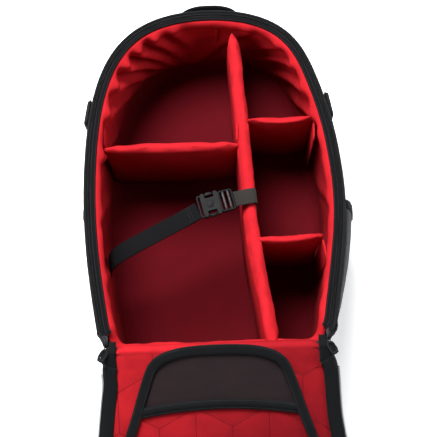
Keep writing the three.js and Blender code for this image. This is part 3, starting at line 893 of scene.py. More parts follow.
def cross_divider(name, seed):
    body, y, (far, near), _, _ = CROSS[name]
    xs = np.linspace(far, near, max(6, int(abs(far - near) / 8)))
    bow = 2.2 * np.sin(np.pi * np.linspace(0, 1, len(xs)))
    line = np.stack([xs, y - bow * 0.6], 1)

    def droop(point):
        sag = math.sin(math.pi * (point[0] - far) / (near - far))
        return rim_z(point[1]) - DIVIDER_DROP - 0.6 - 1.6 * sag

    made = board(f"cross_divider_{name}_pad", line, 4.2, FLOOR_Z + 1.5, droop)
    puff(made, voxel=4.5, cap=2.6, pressure=3.0, frames=12)
    points = coordinates(made)
    top = rim_z(points[:, 1]) - DIVIDER_DROP
    upper = ramp(points[:, 2], top - 70, top)
    points[:, 1] += wrinkled(points, 1.8, 50, seed, (1, 0.2, 1)) * (0.3 + upper)
    points[:, 2] += wrinkled(points, 0.9, 40, seed + 1) * upper
    set_coordinates(made, points)
    padded_piece(made, RED, body, "red_lining", 0.65, f"cross_divider_{name}")


def divider_wings(name):
    """The hook tabs that fold round from a cross divider's ends on to the walls."""
    body, y, ends, wing, leans = CROSS[name]
    made = []
    for x, lean, inward in zip(ends, leans, (1, -1)):
        start = np.array([x + math.copysign(3.0, ends[1] - ends[0]) * inward, y + wing * 2.0])
        line = [start + np.array([lean * d, wing * d]) for d in np.linspace(0, 30, 9)]
        made.append(board("wing", line, 1.3, FLOOR_Z + 12, lambda _: rim_z(y) - DIVIDER_DROP - 7))
    tabs = join(f"divider_tabs_{name}", made)
    piece(subdivide(tabs), RED, body, "red_lining")


long_divider()
for number, name in enumerate(CROSS):
    cross_divider(name, 31 + 5 * number)
    divider_wings(name)

# ---- Placing small parts ----

def turn(axis, angle):
    return np.array(Matrix.Rotation(angle, 3, axis))


def placed(origin, matrix):
    """A function that carries points from a part's own frame to the row frame."""
    return lambda points: np.asarray(points, float) @ matrix.T + origin


def same(points):
    """The row frame itself, for parts that are drawn where they lie."""
    return np.asarray(points, float)


def slab(name, shape, low, high, bevel=0.6, place=same, sharp=None):
    """A flat shape with eased edges; shape is its outline in x and y."""
    shape = np.asarray(shape, float)
    along = np.roll(shape, -1, 0) - np.roll(shape, 1, 0)
    normals = np.stack([along[:, 1], -along[:, 0]], 1)
    normals /= np.maximum(np.linalg.norm(normals, axis=1), 1e-6)[:, None]
    levels = [(bevel, low), (bevel * 0.3, low + bevel * 0.3), (0, low + bevel),
              (0, high - bevel), (bevel * 0.3, high - bevel * 0.3), (bevel, high)]
    rings = [place(np.c_[shape - normals * inset, np.full(len(shape), z)]) for inset, z in levels]
    return loft(name, rings, sharp=sharp)


def box_shape(width, length, radius=1.0, centre=(0, 0), steps=4):
    return rounded(width, length, radius, steps) + centre


def hoop(name, shape, height, section, place=same):
    """A bar of one section bent round a flat shape at a height."""
    path = place(np.c_[shape, np.full(len(shape), height)])
    middle = path.mean(0)
    return sweep(name, path, section, path - middle, joined=True)


def strap(name, points, leads, section):
    """Webbing along given points; leads are its width's directions along the way."""
    path = smooth(points, 3.0)
    return sweep(name, path, section, resample(leads, len(path)))


# ---- The tie-down strap and its buckle ----
BUCKLE_AT = np.array([5.0, -47.0, 183.1])
BUCKLE = placed(BUCKLE_AT, turn("Z", math.radians(13.5)))
LEFT_Z = rim_z(-80.0)
RIGHT_Z = rim_z(-39.0) - DIVIDER_DROP + 1.7
WEB_SECTION = [(-1, -0.5), (-0.9, -0.75), (0, -0.85), (0.9, -0.75), (1, -0.5), (1, 0.5), (0.9, 0.75),
               (0, 0.85), (-0.9, 0.75), (-1, 0.5)]


def web_section(width, grow=1.0):
    """A webbing's section; grow scales its thickness."""
    return [(x * width / 2, y * grow) for x, y in WEB_SECTION]


def tie_strap():
    """Both webbings, the left one's folded end and the stitches that hold it."""
    z = LEFT_Z
    left = [(-135.5, -110.3, z - 86), (-134, -110, z - 60), (-128, -107.6, z - 40), (-114, -101.2, z - 27),
            (-80, -86, z - 19), (-41, -68, z - 14), (-17.5, -55.5, z - 12.3)]
    leads = [(-0.12, 1, 0), (-0.12, 1, 0), (-0.3, 0.95, -0.05), *[(-0.4, 0.9, -0.1)] * 4]
    made = strap("tie_strap_left", left, leads, web_section(22))
    piece(made, WEBBING, "bag", "webbing", "tie_webbing_left")
    z = RIGHT_Z
    right = [(26, -41.9, z), (38, -39.4, z), (46, -38, z), (53, -37.2, z - 0.2), (54.9, -37, z - 3),
             (55, -37, z - 22), (56, -37, z - 52)]
    leads = [(-0.1, 1, -0.109)] * 3 + [(-0.04, 1, 0)] * 4
    made = strap("tie_strap_right", right, leads, web_section(20))
    piece(made, WEBBING_GREY, "bag", "webbing", "tie_webbing_right")
    loop = [(-21.5, -57.6, LEFT_Z - 14.5), (-27, -61, LEFT_Z - 15.0), (-40, -67.6, LEFT_Z - 14.9)]
    made = strap("tie_strap_fold", loop, [(-0.4, 0.9, -0.1)] * 3, web_section(21.5))
    piece(made, WEBBING, "bag", "webbing")
    rows = []
    for offset in (-26.5, -30.0):
        start = np.array([offset * 0.9 - 3, -49.5 + offset * 0.42, LEFT_Z - 11.5])
        ends = [start + np.array([-3.4, 8.4, -1]) * k for k in (-1, 1)]
        rows.append(stitches("strap_stitch", ends, (1, 0.3, 0), "bag", 2.4))
    piece(join("tie_strap_stitches", rows), THREAD, "bag", "black_binding")


def buckle_female():
    """The receiving half: two plates on a spine, their collars and the webbing's loop."""
    half = [(3, 13.2), (1.6, 14.6), (-0.6, 14.8), (-1.2, 8.4), (-2.4, 7.6), (-12.6, 7.6), (-13.8, 8.4),
            (-14.4, 14.8), (-16.5, 14.6), (-18, 12.5)]
    body = [(x, -y) for x, y in half] + half[::-1]
    made = [slab("top", body, 6.4, 9.0, 0.7, BUCKLE, 40), slab("base", body, 0.2, 2.2, 0.5, BUCKLE, 40),
            slab("spine", box_shape(15, 6, 1, (-8, 0)), 1.8, 7.0, 0.3, BUCKLE),
            slab("dimple", box_shape(9, 9, 3.5, (-8, 0)), 8.6, 9.5, 0.5, BUCKLE)]
    for y in (-13.2, 13.2):
        made.append(slab("collar", box_shape(3.6, 3, 0.8, (1.0, y)), 0.4, 8.8, 0.5, BUCKLE))
        made.append(slab("cheek", box_shape(3.4, 3, 0.8, (-16.2, y)), 0.4, 8.8, 0.5, BUCKLE))
    made.append(hoop("loop", box_shape(8, 27, 2, (-18.2, 0)), 4.2, rounded(2.8, 4.2, 1.0), BUCKLE))
    piece(join("buckle_receiver", made), PLASTIC, "bag", "buckle_plastic", "tie_buckle_female")


def buckle_male():
    """The inserted half: a frame with a tongue, and the two bars that grip the webbing."""
    made = [hoop("frame", box_shape(16.5, 25.5, 2.5, (12.8, 0)), 3.8, rounded(2.6, 5.4, 1.1), BUCKLE),
            slab("shoulder", box_shape(3.2, 26, 1.2, (4.6, 0)), 1.0, 6.4, 0.7, BUCKLE),
            slab("tongue", box_shape(12, 4, 1.0, (-1.5, 0)), 2.6, 5.8, 0.5, BUCKLE)]
    piece(join("buckle_insert", made), PLASTIC, "bag", "buckle_plastic", "tie_buckle_male")
    # The bars' lighter colour is a painted highlight.
    bars = []
    for x in (10.0, 16.6):
        path = BUCKLE([(x, y, 5.2) for y in np.linspace(-12, 12, 9)])
        bars.append(sweep("bar", path, rounded(3.0, 2.4, 1.1), (1, 0, 0)))
    piece(join("buckle_bars", bars), BAR_PAINTED_HIGHLIGHT, "bag", "buckle_plastic")


def prong(name, body):
    """A prong's ribbed finger grip, on the side of the buckle where the frame has its node."""
    low, high = (np.array(corner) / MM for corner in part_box(name))
    middle = (low + high) / 2 - BUCKLE_AT
    side = math.copysign(1, middle[1] - middle[0] * 0.24)
    shape = np.array([(-13.4, 12), (-12.6, 14.6), (-9, 15.9), (-5, 15.6), (-2, 14.2), (-1.8, 12)]) * [1, side]
    made = [slab("finger", shape if side < 0 else shape[::-1], 1.6, 7.4, 0.6, BUCKLE)]
    for x in (-10.5, -8.5, -6.5):
        made.append(slab("rib", box_shape(0.8, 1.6, 0.3, (x, side * 15.6)), 2.2, 6.8, 0.2, BUCKLE))
    piece(join(f"{name}_grip", made), PLASTIC, body, "buckle_plastic", name)


tie_strap()
buckle_female()
buckle_male()
prong("tie_buckle_prong_front", "prong_front")
prong("tie_buckle_prong_rear", "prong_rear")

# ---- Zip sliders and pulls ----
SLIDER_LEAN = math.radians(10.5)


SLIDER_HALF = [(0, 6.9), (2.2, 6.6), (4.2, 5.0), (4.7, 2.2), (3.4, -1.5), (3.1, -4.5), (2.2, -6.4), (0, -6.8)]


def slider_body(name, place, body, node):
    """Two plates on a neck, the bridge over them and the link that the pull hangs on."""
    shape = np.array(SLIDER_HALF + [(-x, y) for x, y in SLIDER_HALF[-2:0:-1]])[::-1]
    made = [slab("plate_low", shape, -1.4, -0.3, 0.3, place), slab("plate_top", shape, 0.9, 2.1, 0.4, place),
            slab("neck", box_shape(2.4, 6, 1, (0, 2.5)), -0.5, 1.2, 0.1, place)]
    bridge = [(0, 4.6, 1.9), (0, 4.2, 3.4), (0, 1.5, 4.3), (0, -3, 4.2), (0, -6.5, 3.4), (0, -8.2, 2.2)]
    lead = place([(1, 0, 0)]) - place([(0, 0, 0)])
    made.append(sweep("bridge", place(smooth(bridge, 0.7)), rounded(2.6, 1.1, 0.45), lead))
    ring = np.c_[circle(2.3, 20) * [0.9, 1.2] + [0, -9.4], np.full(20, 1.9)]
    outward = place(ring) - place([(0, -9.4, 1.9)])
    made.append(sweep("link", place(ring), circle(0.65, 8), outward, joined=True))
    piece(join(name, made), METAL, body, "slider_metal", node)


def pull_loop(name, place, length, width, body, node):
    """A cord loop with a moulded grip at its far end, lying along -y from its pivot."""
    loop = box_shape(width - 2.6, length - 2.2, (width - 2.8) / 2, (0, -length / 2 + 0.3), 6)
    path = place(np.c_[loop, 0.35 * np.sin(np.arange(len(loop)) * 0.5)])
    cord = sweep("cord", path, circle(1.6, 10), path - path.mean(0), joined=True)
    grip = [(-width / 2, -length * 0.72), (-width * 0.36, -length - 0.3), (0, -length - 1.0),
            (width * 0.36, -length - 0.3), (width / 2, -length * 0.72), (width * 0.3, -length * 0.78),
            (0, -length * 0.84), (-width * 0.3, -length * 0.78)]
    made = join(name, [cord, slab("grip", grip, -1.7, 1.7, 0.6, place)])
    piece(made, PLASTIC, body, "webbing", node)


def body_slider(side, name):
    y = HINGE_Y + 12
    matrix = turn("Z", -side * SLIDER_LEAN) @ turn("X", -math.atan(RIM_FALL))
    origin = np.array([side * 130.2, y, rim_z(y) + 1.6])
    slider_body(f"slider_{name}", placed(origin, matrix), f"zip_slider_{name}", f"zip_slider_{name}")
    pivot = origin + matrix @ np.array([0, -10.7, 1.8])
    swung = matrix @ turn("Z", side * math.radians(40.5))
    pull_loop(f"pull_{name}", placed(pivot, swung), 15, 9.5, f"zip_pull_{name}", f"zip_pull_{name}")


for side, name in ((-1, "left"), (1, "right")):
    body_slider(side, name)

# ---- The lid ----
# Distance from the hinge axis, and height of the lining's face there, outward.
LID_RISE = [(-12, 0), (0, -3.3), (10, -2.2), (20, -0.6), (35, 0.9), (55, 1.8), (75, 2.0), (600, 2.0)]
HEX = 50.0  # side of the quilting's hexagons


def lid_rise(s):
    """Height, outward, of the lid's lining at a distance from the hinge axis."""
    return np.interp(s, *zip(*LID_RISE))


def lid_outline(inset):
    """The lid's outline at an inset, in x and s. Open, its sides draw in a little."""
    flat = (BODY_POINTS - BODY_NORMALS * np.reshape(inset, (-1, 1))) * [1, RIM_STRETCH]
    x, s = flat.T
    drawn = np.where(x < 0, ramp(s, 4, 46), ramp(s, 10, 100)) * (1 - ramp(s, 150, 300))
    flat[:, 0] *= 1 - 0.055 * drawn
    return flat


def lid_width(s, inset=16.0):
    """Half the lid's width at s, taken at an inset."""
    half = lid_outline(inset)[CORNER + 2:BODY_COUNT // 2 + 1]
    return np.interp(s, half[:, 1], half[:, 0])


def lid_side(s, inset, side):
    """Distance from the centre plane to the lid's outline at an inset, on one side."""
    line = lid_outline(inset)[np.arange(29, BODY_COUNT // 2) * side % BODY_COUNT]
    return np.interp(s, line[:, 1], np.abs(line[:, 0]))


def quilt_segments(origin, low, high, count=6):
    """The first count lines of each block of a tumbling-block quilting, as pairs of points in x and s."""
    wide, half, found = HEX * math.sqrt(3) / 2, HEX / 2, []
    spokes = [((0, 0), (-wide, -half)), ((0, 0), (wide, -half)), ((0, 0), (0, HEX)),
              ((-wide, -half), (-wide, half)), ((-wide, -half), (0, -HEX)), ((0, -HEX), (wide, -half))][:count]
    for j in range(-7, 8):
        for i in range(-5, 6):
            centre = np.array(origin) + [wide * (2 * i + j % 2), 3 * half * j]
            for a, b in spokes:
                ends = np.array([centre + a, centre + b])
                if (ends.max(0) > low).all() and (ends.min(0) < high).all():
                    found.append(ends)
    return found


def segment_distance(points, segments):
    """Distance from each point to the nearest segment."""
    nearest = np.full(points.shape[:-1], 1e9)
    for a, b in segments:
        t = np.clip(((points - a) @ (b - a)) / ((b - a) @ (b - a)), 0, 1)
        nearest = np.minimum(nearest, np.linalg.norm(points - a - t[..., None] * (b - a), axis=-1))
    return nearest


def pillow(points, segments, height):
    """Puffed fabric between quilting lines."""
    return height * (1 - np.exp(-((segment_distance(points, segments) / 6.0) ** 1.3)))


LEFT_QUILT = quilt_segments((-119, 51), (-150, -5), (-15, 440), 3)
RIGHT_QUILT = quilt_segments((98, 37), (15, -5), (150, 440), 3)
MIDDLE_QUILT = quilt_segments((14.5, 98.4), (-125, 40), (125, 430))


def patch(name, grid, flat, thickness=0.0):
    """An open sheet from a grid of points; flat has their places on the cloth."""
    rows, columns = grid.shape[:2]
    cells = grid_corners(rows - 1, columns - 1)
    faces = [[r * columns + c for r, c in corners] for corners in cells]
    made = make(name, grid, faces, [flat[r, c] for corners in cells for r, c in corners])
    return solidify(made, thickness) if thickness else made


def cloth_piece(made, material, slot, *nodes):
    """A piece with its place baked into its points, riding on no body."""
    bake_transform(made)
    return dress(made, material, nodes)


def grain(x, s, size, seed):
    """Smooth noise from -1 to 1 over a flat cloth; size is the size of its lumps."""
    x, s = np.broadcast_arrays(x, s)
    return rough(np.stack([x, s, s * 0], -1), size, seed)


# The lining's way over the hinge: y and z from the body's wall up to the lid.
CREST = [(-221.6, 184), (-221.4, 196), (-221.7, 204), (-222.4, 210.5), (-223.9, 215.2), (-226.2, 217.8),
         (-228.8, 219.2), (-231.4, 219.2)]


def lid_surface(x, s):
    """Points of the red lining on the lid, puffed between its quilting lines."""
    x, s = np.broadcast_arrays(np.asarray(x, float), np.asarray(s, float))
    spot = np.stack([x, s], -1)
    puffed = np.where(x < 0, pillow(spot, LEFT_QUILT, 0.5), pillow(spot, RIGHT_QUILT, 0.5))
    soft = 0.8 * grain(x, s, 38, 41) + 0.3 * grain(x, s, 12, 42)
    near = ramp(s, -4, 14)
    sunk = 4.5 * ramp(arch_half(s, -1) - np.abs(x), 0, 10) * ramp(s, 0, 12)
    return lid_points(x, s, lid_rise(s) - (puffed + soft) * near + sunk)


LINING_HALF = [(2, 117), (12, 119), (25, 121), (42, 124.5)]  # distance from the hinge axis, half the width


def lid_lining():
    """The red cloth from the body's wall over the hinge and along the lid."""
    across = np.linspace(-1, 1, 121)
    crest, stations = smooth(CREST, 2.0), np.r_[np.arange(2.5, 60, 2.5), np.arange(60, 428, 4.5)]
    halves = LINING_HALF + [(s, lid_width(s, 15)) for s in (110, 160)]
    rows, flat = [], []
    for i, (y, z) in enumerate(crest):
        half = 113 + 5.5 * ramp(i / len(crest), 0.45, 1.0)
        x = across * half
        dip = 3.4 * ramp(np.abs(x), half - 13, half) ** 2
        bulge = 0.9 * rough(np.stack([x, x * 0 + y, x * 0 + z], -1), 34, 43) * ramp(i / len(crest), 0.3, 0.8)
        rows.append(np.stack([x, np.full_like(x, y) - dip * 0.3, z + bulge - dip], -1))
        flat.append(np.stack([x, np.full_like(x, i * 2.2 - len(crest) * 2.2)], -1))
    for s in stations:
        half = lid_width(s, 15) if s > 160 else np.interp(s, *zip(*halves))
        x = across * half
        points = lid_surface(x, s)
        points[:, 2] -= 2.4 * ramp(np.abs(x), half - 11, half)
        rows.append(points)
        flat.append(np.stack([x, np.full_like(x, s)], -1))
    grid = np.array(rows)
    for _ in range(4):
        grid[2:20] = (grid[1:19] + 2 * grid[2:20] + grid[3:21]) / 4
    made = patch("lid_lining_cloth", grid, np.array(flat), 0.8)
    cloth_piece(made, RED_LID, "red_lining", "lid_lining", "hinge_roll")


def quilt_lines(name, segments, surface, keep, blended):
    """Thin seams along quilting lines, laid on a surface of x and s where keep allows."""
    made = []
    for a, b in segments:
        line = a + np.linspace(0, 1, 20)[:, None] * (b - a)
        line = line[keep(line)]
        if len(line) > 2:
            points = surface(line[:, 0], line[:, 1])
            made.append(sweep("line", points, circle(0.32, 6), (0.3, 0.4, -0.2)))
    made = join(name, made)
    if blended:
        return cloth_piece(made, SEAM, "red_lining")
    return piece(made, SEAM, "lid", "red_lining")


ARCH_POINTS, ARCH_NORMALS = mirrored_loop(ARCH_CURVES, 260)


def arch_line(offset, rise):
    """The arch's centreline moved outward by offset, at rise outward from the lining's face."""
    flat = ARCH_POINTS + ARCH_NORMALS * offset
    return flat, lid_points(flat[:, 0], flat[:, 1], lid_rise(flat[:, 1]) + rise)


def arch_inside(points, offset):
    """True for points in x and s inside the arch moved outward by offset."""
    flat = ARCH_POINTS + ARCH_NORMALS * offset
    half = flat[:len(flat) // 2 + 1]
    return np.abs(points[:, 0]) < np.interp(points[:, 1], half[:, 1], half[:, 0], left=0, right=0)


def beyond(side):
    """Where the lining's quilting shows: outside the arch and inside the edge band, on one side."""
    def keep(points):
        x, s = points.T
        shown = (x * side > 0) & (np.abs(x) < lid_width(s, 17)) & (s > 1) & (s < 425)
        return shown & ~arch_inside(points, 4)
    return keep


def flat_lead(flat_normals):
    """Directions in the lid's plane for normals in x and s."""
    return np.stack([flat_normals[:, 0], -flat_normals[:, 1] * math.cos(LID_LEAN),
                     -flat_normals[:, 1] * math.sin(LID_LEAN)], -1)


def arch_band():
    """The bound edge of the arch, with a row of stitches along each side."""
    flat, path = arch_line(0, -2.3)
    fuller = 1 + 0.25 * gauss(flat[:, 1], 0, 22)
    shape = np.array([(-5.8, 1.4), (-5.8, -0.2), (-5.1, -0.9), (-1.5, -1.15), (0, -0.95), (2.0, -1.15),
                      (5.1, -0.8), (5.8, -0.1), (5.8, 1.4)])
    section = shape[None] * np.stack([np.ones_like(fuller), fuller], -1)[:, None]
    path = path + wrinkled(path, 0.5, 22, 51)[:, None] * np.array([0, 0, 1.0])
    leads = flat_lead(ARCH_NORMALS)
    made = sweep("arch_binding", path, section, leads, joined=True)
    cloth_piece(made, GROSGRAIN, "black_binding", "lid_arch_binding")
    for name, offset in (("outer", 4.2), ("inner", -4.0)):
        _, line = arch_line(offset, -3.3)
        line, around = np.vstack([line, line[:1]]), np.vstack([leads, leads[:1]])
        made = bead_row(f"arch_stitch_{name}", line, around, 3.4, (0.6, 2.3, 0.5))
        cloth_piece(made, THREAD, "black_binding")


def arch_half(s, offset):
    """Half the arch's width at s, with the arch moved outward by offset."""
    half = (ARCH_POINTS + ARCH_NORMALS * offset)[:len(ARCH_POINTS) // 2 + 1]
    return np.interp(s, half[:, 1], half[:, 0])


HEM = (62.5, 74.5)  # the mesh pocket's hem at the middle; its ends lie further down
HEM_BOW = 8.0
HEM_HALF = 88.0  # about half the hem's width


def mesh_pocket():
    """The stretch mesh over the head of the arch."""
    across = np.linspace(-1, 1, 71)
    rows, flat = [], []
    for k in np.linspace(0, 1, 36):
        s_mid = 0.6 + k * (HEM[1] - 2 - 0.6)
        half = arch_half(max(s_mid, 3.0) + 5 * k, -3.0)
        x = across * half
        s = s_mid + HEM_BOW * (x / HEM_HALF) ** 2 * k ** 2
        puffed = 2.6 * np.sin(math.pi * k) ** 0.7 * (1 - np.abs(across) ** 3)
        ripple = 0.5 * grain(x * 0.5, s, 16, 61) + 0.3 * grain(x, s, 7, 62)
        rows.append(lid_points(x, s, lid_rise(s) + 0.2 - puffed - ripple))
        flat.append(np.stack([x, s], -1))
    grid, flat = np.array(rows), np.array(flat)
    made = patch("mesh_pocket_cloth", grid, flat, 0.5)
    cloth_piece(made, POCKET_MESH, "mesh", "lid_mesh_panel")


def hem_line(s, rise):
    """A line along the hem, s from the hinge axis at its middle."""
    x = np.linspace(-1, 1, 61) * arch_half(s + HEM_BOW, -3.5)
    at = s + HEM_BOW * (x / HEM_HALF) ** 2
    return lid_points(x, at, lid_rise(at) + rise + 0.3 * grain(x, at, 20, 63))


def mesh_hem():
    line = hem_line((HEM[0] + HEM[1]) / 2, -1.7)
    section = [(-6.2, 0.7), (-6.2, -0.3), (-5.7, -0.7), (5.7, -0.7), (6.2, -0.3), (6.2, 0.7)]
    lead = (0, -math.cos(LID_LEAN), -math.sin(LID_LEAN))
    piece(sweep("mesh_hem", line, section, lead), GROSGRAIN, "lid", "black_binding", "lid_mesh_hem")
    for name, s in (("upper", HEM[0] + 1.6), ("lower", HEM[1] - 1.6)):
        stitches(f"hem_stitch_{name}", hem_line(s, -2.45), lead, "lid", 3.0)


def panel_surface(x, s):
    """Points of the arch's inner panel, puffed between its quilting lines."""
    spot = np.stack(np.broadcast_arrays(x, s), -1)
    return lid_points(x, s, 3.6 - pillow(spot, MIDDLE_QUILT, 0.7) - grain(x, s, 45, 71))


def center_panel():
    across = np.linspace(-1, 1, 101)
    rows, flat = [], []
    for s in np.r_[np.arange(60, 200, 2.6), np.arange(200, 426, 4.5)]:
        x = across * arch_half(s, -1.5)
        rows.append(panel_surface(x, np.full_like(x, s)))
        flat.append(np.stack([x, np.full_like(x, s)], -1))
    made = patch("center_quilt", np.array(rows), np.array(flat), 1.2)
    piece(made, RED_LID, "lid", "red_lining", "lid_center_panel")


def inside_arch(points):
    return arch_inside(points, -6.5) & (points[:, 1] > 66)


mesh_hem()
mesh_pocket()
arch_band()
lid_lining()
center_panel()
quilt_lines("lining_quilt_left", LEFT_QUILT, lid_surface, beyond(-1), True)
quilt_lines("lining_quilt_right", RIGHT_QUILT, lid_surface, beyond(1), True)
quilt_lines("center_quilt_lines", MIDDLE_QUILT, panel_surface, inside_arch, False)

# ---- The lid's edge and outside ----
BAND_START = 30  # point of the outline where the lid's edge band begins
ZIP_START = 34  # and where its stitches and zip teeth begin
OUTSIDE_START = 12.0  # how near the hinge axis the lid's outside comes


def lid_ring(inset, rise):
    """A ring round the lid's outside at an inset, at rise outward from the hinge axis."""
    flat = lid_outline(inset)
    return lid_points(flat[:, 0], np.maximum(flat[:, 1], OUTSIDE_START), rise)


def edge_line(inset, rise, start):
    """A line along the lid's edge from one hinge corner to the other, at rise from the lining's face."""
    x, s = run_of(lid_outline(inset), start).T
    return lid_points(x, s, lid_rise(s) + rise)


def lid_edge():
    """The band round the lid's edge, its two rows of stitches and its zip teeth."""
    s = run_of(lid_outline(10.4), BAND_START)[:, 1]
    path = edge_line(10.4, 1.0 * (1 - ramp(s, 8, 16)) - 0.1, BAND_START)
    path[:, 2] += wrinkled(path, 0.4, 26, 81)
    narrow = 0.84 + 0.16 * ramp(s, 8, 40)
    half = [(7.4, 0.9), (7.3, -0.5), (6.0, -1.1)]
    shape = np.array([(-x, y) for x, y in half] + [(0, -1.4)] + half[::-1])
    section = shape[None] * np.stack([narrow, np.ones_like(narrow)], -1)[:, None]
    made = sweep("lid_edge_tape", path, section, flat_lead(run_of(BODY_NORMALS, BAND_START)))
    piece(made, GROSGRAIN, "lid", "black_binding", "lid_edge_band")
    leads = flat_lead(run_of(BODY_NORMALS, ZIP_START))
    for name, inset in (("inner", 15.6), ("outer", 5.4)):
        stitches(f"lid_edge_stitch_{name}", edge_line(inset, -0.05, ZIP_START), leads, "lid")
    made = teeth("lid_zip_teeth", edge_line(0.5, 0.6, ZIP_START), leads, 3.6, 2.4)
    piece(made, COIL, "lid", "zip_coil", "lid_zip_coil")


# Distance from the hinge axis, inner x and outer x.
CORNER_CLOTH = [(-13, 117.5, 126), (-6, 117.2, 127), (0, 117.2, 134), (8, 117.6, 136.5)]


def corner_cloth(side, name):
    """Black cloth that carries the zip's end across the hinge corner."""
    knots = np.array(CORNER_CLOTH, float)
    rows, flat = [], []
    for s in np.linspace(knots[0, 0], 36, 27):
        ends = np.array([np.interp(s, knots[:, 0], column) for column in knots[:, 1:].T])
        edges = np.array([lid_side(s, inset, side) for inset in (16.4, 5.0)])
        meet = ramp(s, 12, 26)
        inner, outer = ends * (1 - meet) + edges * meet
        k = np.linspace(0, 1, 15)
        x = side * (inner + (outer - inner) * k)
        bulge = 1.0 * np.sin(math.pi * k) - 5.0 * ramp(k, 0.7, 1.0) - 1.6 * ramp(-k, -0.15, 0)
        bulge = bulge + 0.5 * grain(x, s, 9, 88)
        down, back = max(s, 0), max(-s, 0)
        row = lid_points(x, np.full_like(x, down), lid_rise(down) - 0.3 - bulge + 1.6 * ramp(s, 14, 30))
        rows.append(row + [0, back, -0.2 * back])
        flat.append(np.stack([x, np.full_like(x, s)], -1))
    made = patch(f"corner_cloth_{name}", np.array(rows), np.array(flat), 0.8)
    cloth_piece(made, GROSGRAIN, "black_binding")


OUTER_PROFILE = [(16, 6.4), (6, 5.4), (2.6, 4.4), (0.8, 5.0), (0.1, 7.0), (-0.2, 10.5), (0.6, 13.6),
                 (2.6, 15.3), (6.5, 15.9)]  # inset and rise


def lid_outer():
    """The lid's foam and outer cloth, with a piped edge."""
    rings = []
    for inset, rise in OUTER_PROFILE:
        ring = lid_ring(inset, rise)
        ring[:, 2] += wrinkled(ring, 0.5, 30, 83) * ramp(rise, 5, 8)
        rings.append(ring)
    made = loft("lid_outer_cloth", rings)
    piece(made, SHELL, "lid", "shell_fabric", "lid_outer_panel", "lid_foam")
    piping = sweep("lid_outer_piping", lid_ring(2.0, 15.4), circle(1.5, 8), joined=True)
    piece(piping, BINDING, "lid", "black_binding")


# y and z of the gusset, from the body's hinge edge to the lid's outside
GUSSET_BODY = [(-230.5, 206.0), (-231.2, 210.0), (-232.4, 214.0), (-233.4, 217.0)]
GUSSET_LID = [(-233.7, 205.3), (-235.4, 202.6), (-236.6, 200.2), (-237.2, 197.0)]
GUSSET_STEP = 1.6


def hinge_gusset():
    """The outer cloth that closes the gap between the body's hinge edge and the lid."""
    across = np.linspace(-121, 121, 60)
    rows = []
    for y, z in [*smooth(GUSSET_BODY, GUSSET_STEP), *smooth(GUSSET_LID, GUSSET_STEP)]:
        rows.append(np.stack([across, y - 0.3 * grain(across, z, 20, 85), np.full_like(across, z)], -1))
    flat = np.stack(np.meshgrid(across, np.arange(len(rows)) * GUSSET_STEP), -1)
    made = patch("hinge_gusset", np.array(rows), flat, 0.9)
    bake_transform(made)
    dress(made, STRETCH, ())


def on_lid(points):
    """Row points of (x, s, w) on the lid."""
    points = np.asarray(points, float)
    return lid_points(points[:, 0], points[:, 1], points[:, 2])


POCKET_ZIP = 330.0  # the front pocket zip's distance from the hinge axis


def front_pocket():
    """The flat pocket on the lid's outside, with its zip, slider and pull."""
    shape = lid_outline(26)
    shape = shape[(shape[:, 1] > 52) & (shape[:, 1] < 405)]
    levels = [(0, 15.4), (-0.6, 17), (0, 19.2), (2.4, 20.8), (10, 21.4), (26, 21.6)]
    centre = shape.mean(0)
    rings = []
    for inset, rise in levels:
        away = shape - centre
        ring = centre + away * (1 - inset / np.linalg.norm(away, axis=1)[:, None])
        rings.append(on_lid(np.c_[ring, np.full(len(ring), rise)]))
        rings[-1][:, 2] -= wrinkled(rings[-1], 0.7, 40, 87) * (inset >= 2.4)
    piece(loft("front_pocket_cloth", rings), SHELL, "lid", "shell_fabric", "front_pocket_panel")
    tape = slab("pocket_tape", box_shape(190, 24, 2, (0, POCKET_ZIP)), 21.2, 22.4, 0.4, on_lid)
    piece(tape, TAPE, "lid", "black_binding", "pocket_zip_tape")
    line = on_lid([(x, POCKET_ZIP, 23.0) for x in np.linspace(-91, 91, 40)])
    coil = teeth("pocket_zip_teeth", line, (0, -math.cos(LID_LEAN), -math.sin(LID_LEAN)), 4.4, 1.9)
    piece(coil, COIL, "lid", "zip_coil", "pocket_zip_coil")
    origin = on_lid([(0, 0, 0)])[0]
    matrix = np.stack([on_lid([p])[0] - origin for p in ((0, -1, 0), (1, 0, 0), (0, 0, 1))], 1)
    slider = placed(on_lid([(-75, POCKET_ZIP, 25.2)])[0], matrix)
    slider_body("pocket_slider_body", slider, "pocket_slider", "pocket_zip_slider")
    turned = np.stack([matrix[:, 1], -matrix[:, 0], matrix[:, 2]], 1)
    pull = placed(on_lid([(-75, POCKET_ZIP - 6.8, 25.8)])[0], turned)
    pull_loop("pocket_pull_loop", pull, 26, 7.5, "pocket_pull", "pocket_zip_pull")


lid_edge()
corner_cloth(-1, "left")
corner_cloth(1, "right")
lid_outer()
hinge_gusset()
front_pocket()

# ---- The harness under the body ----

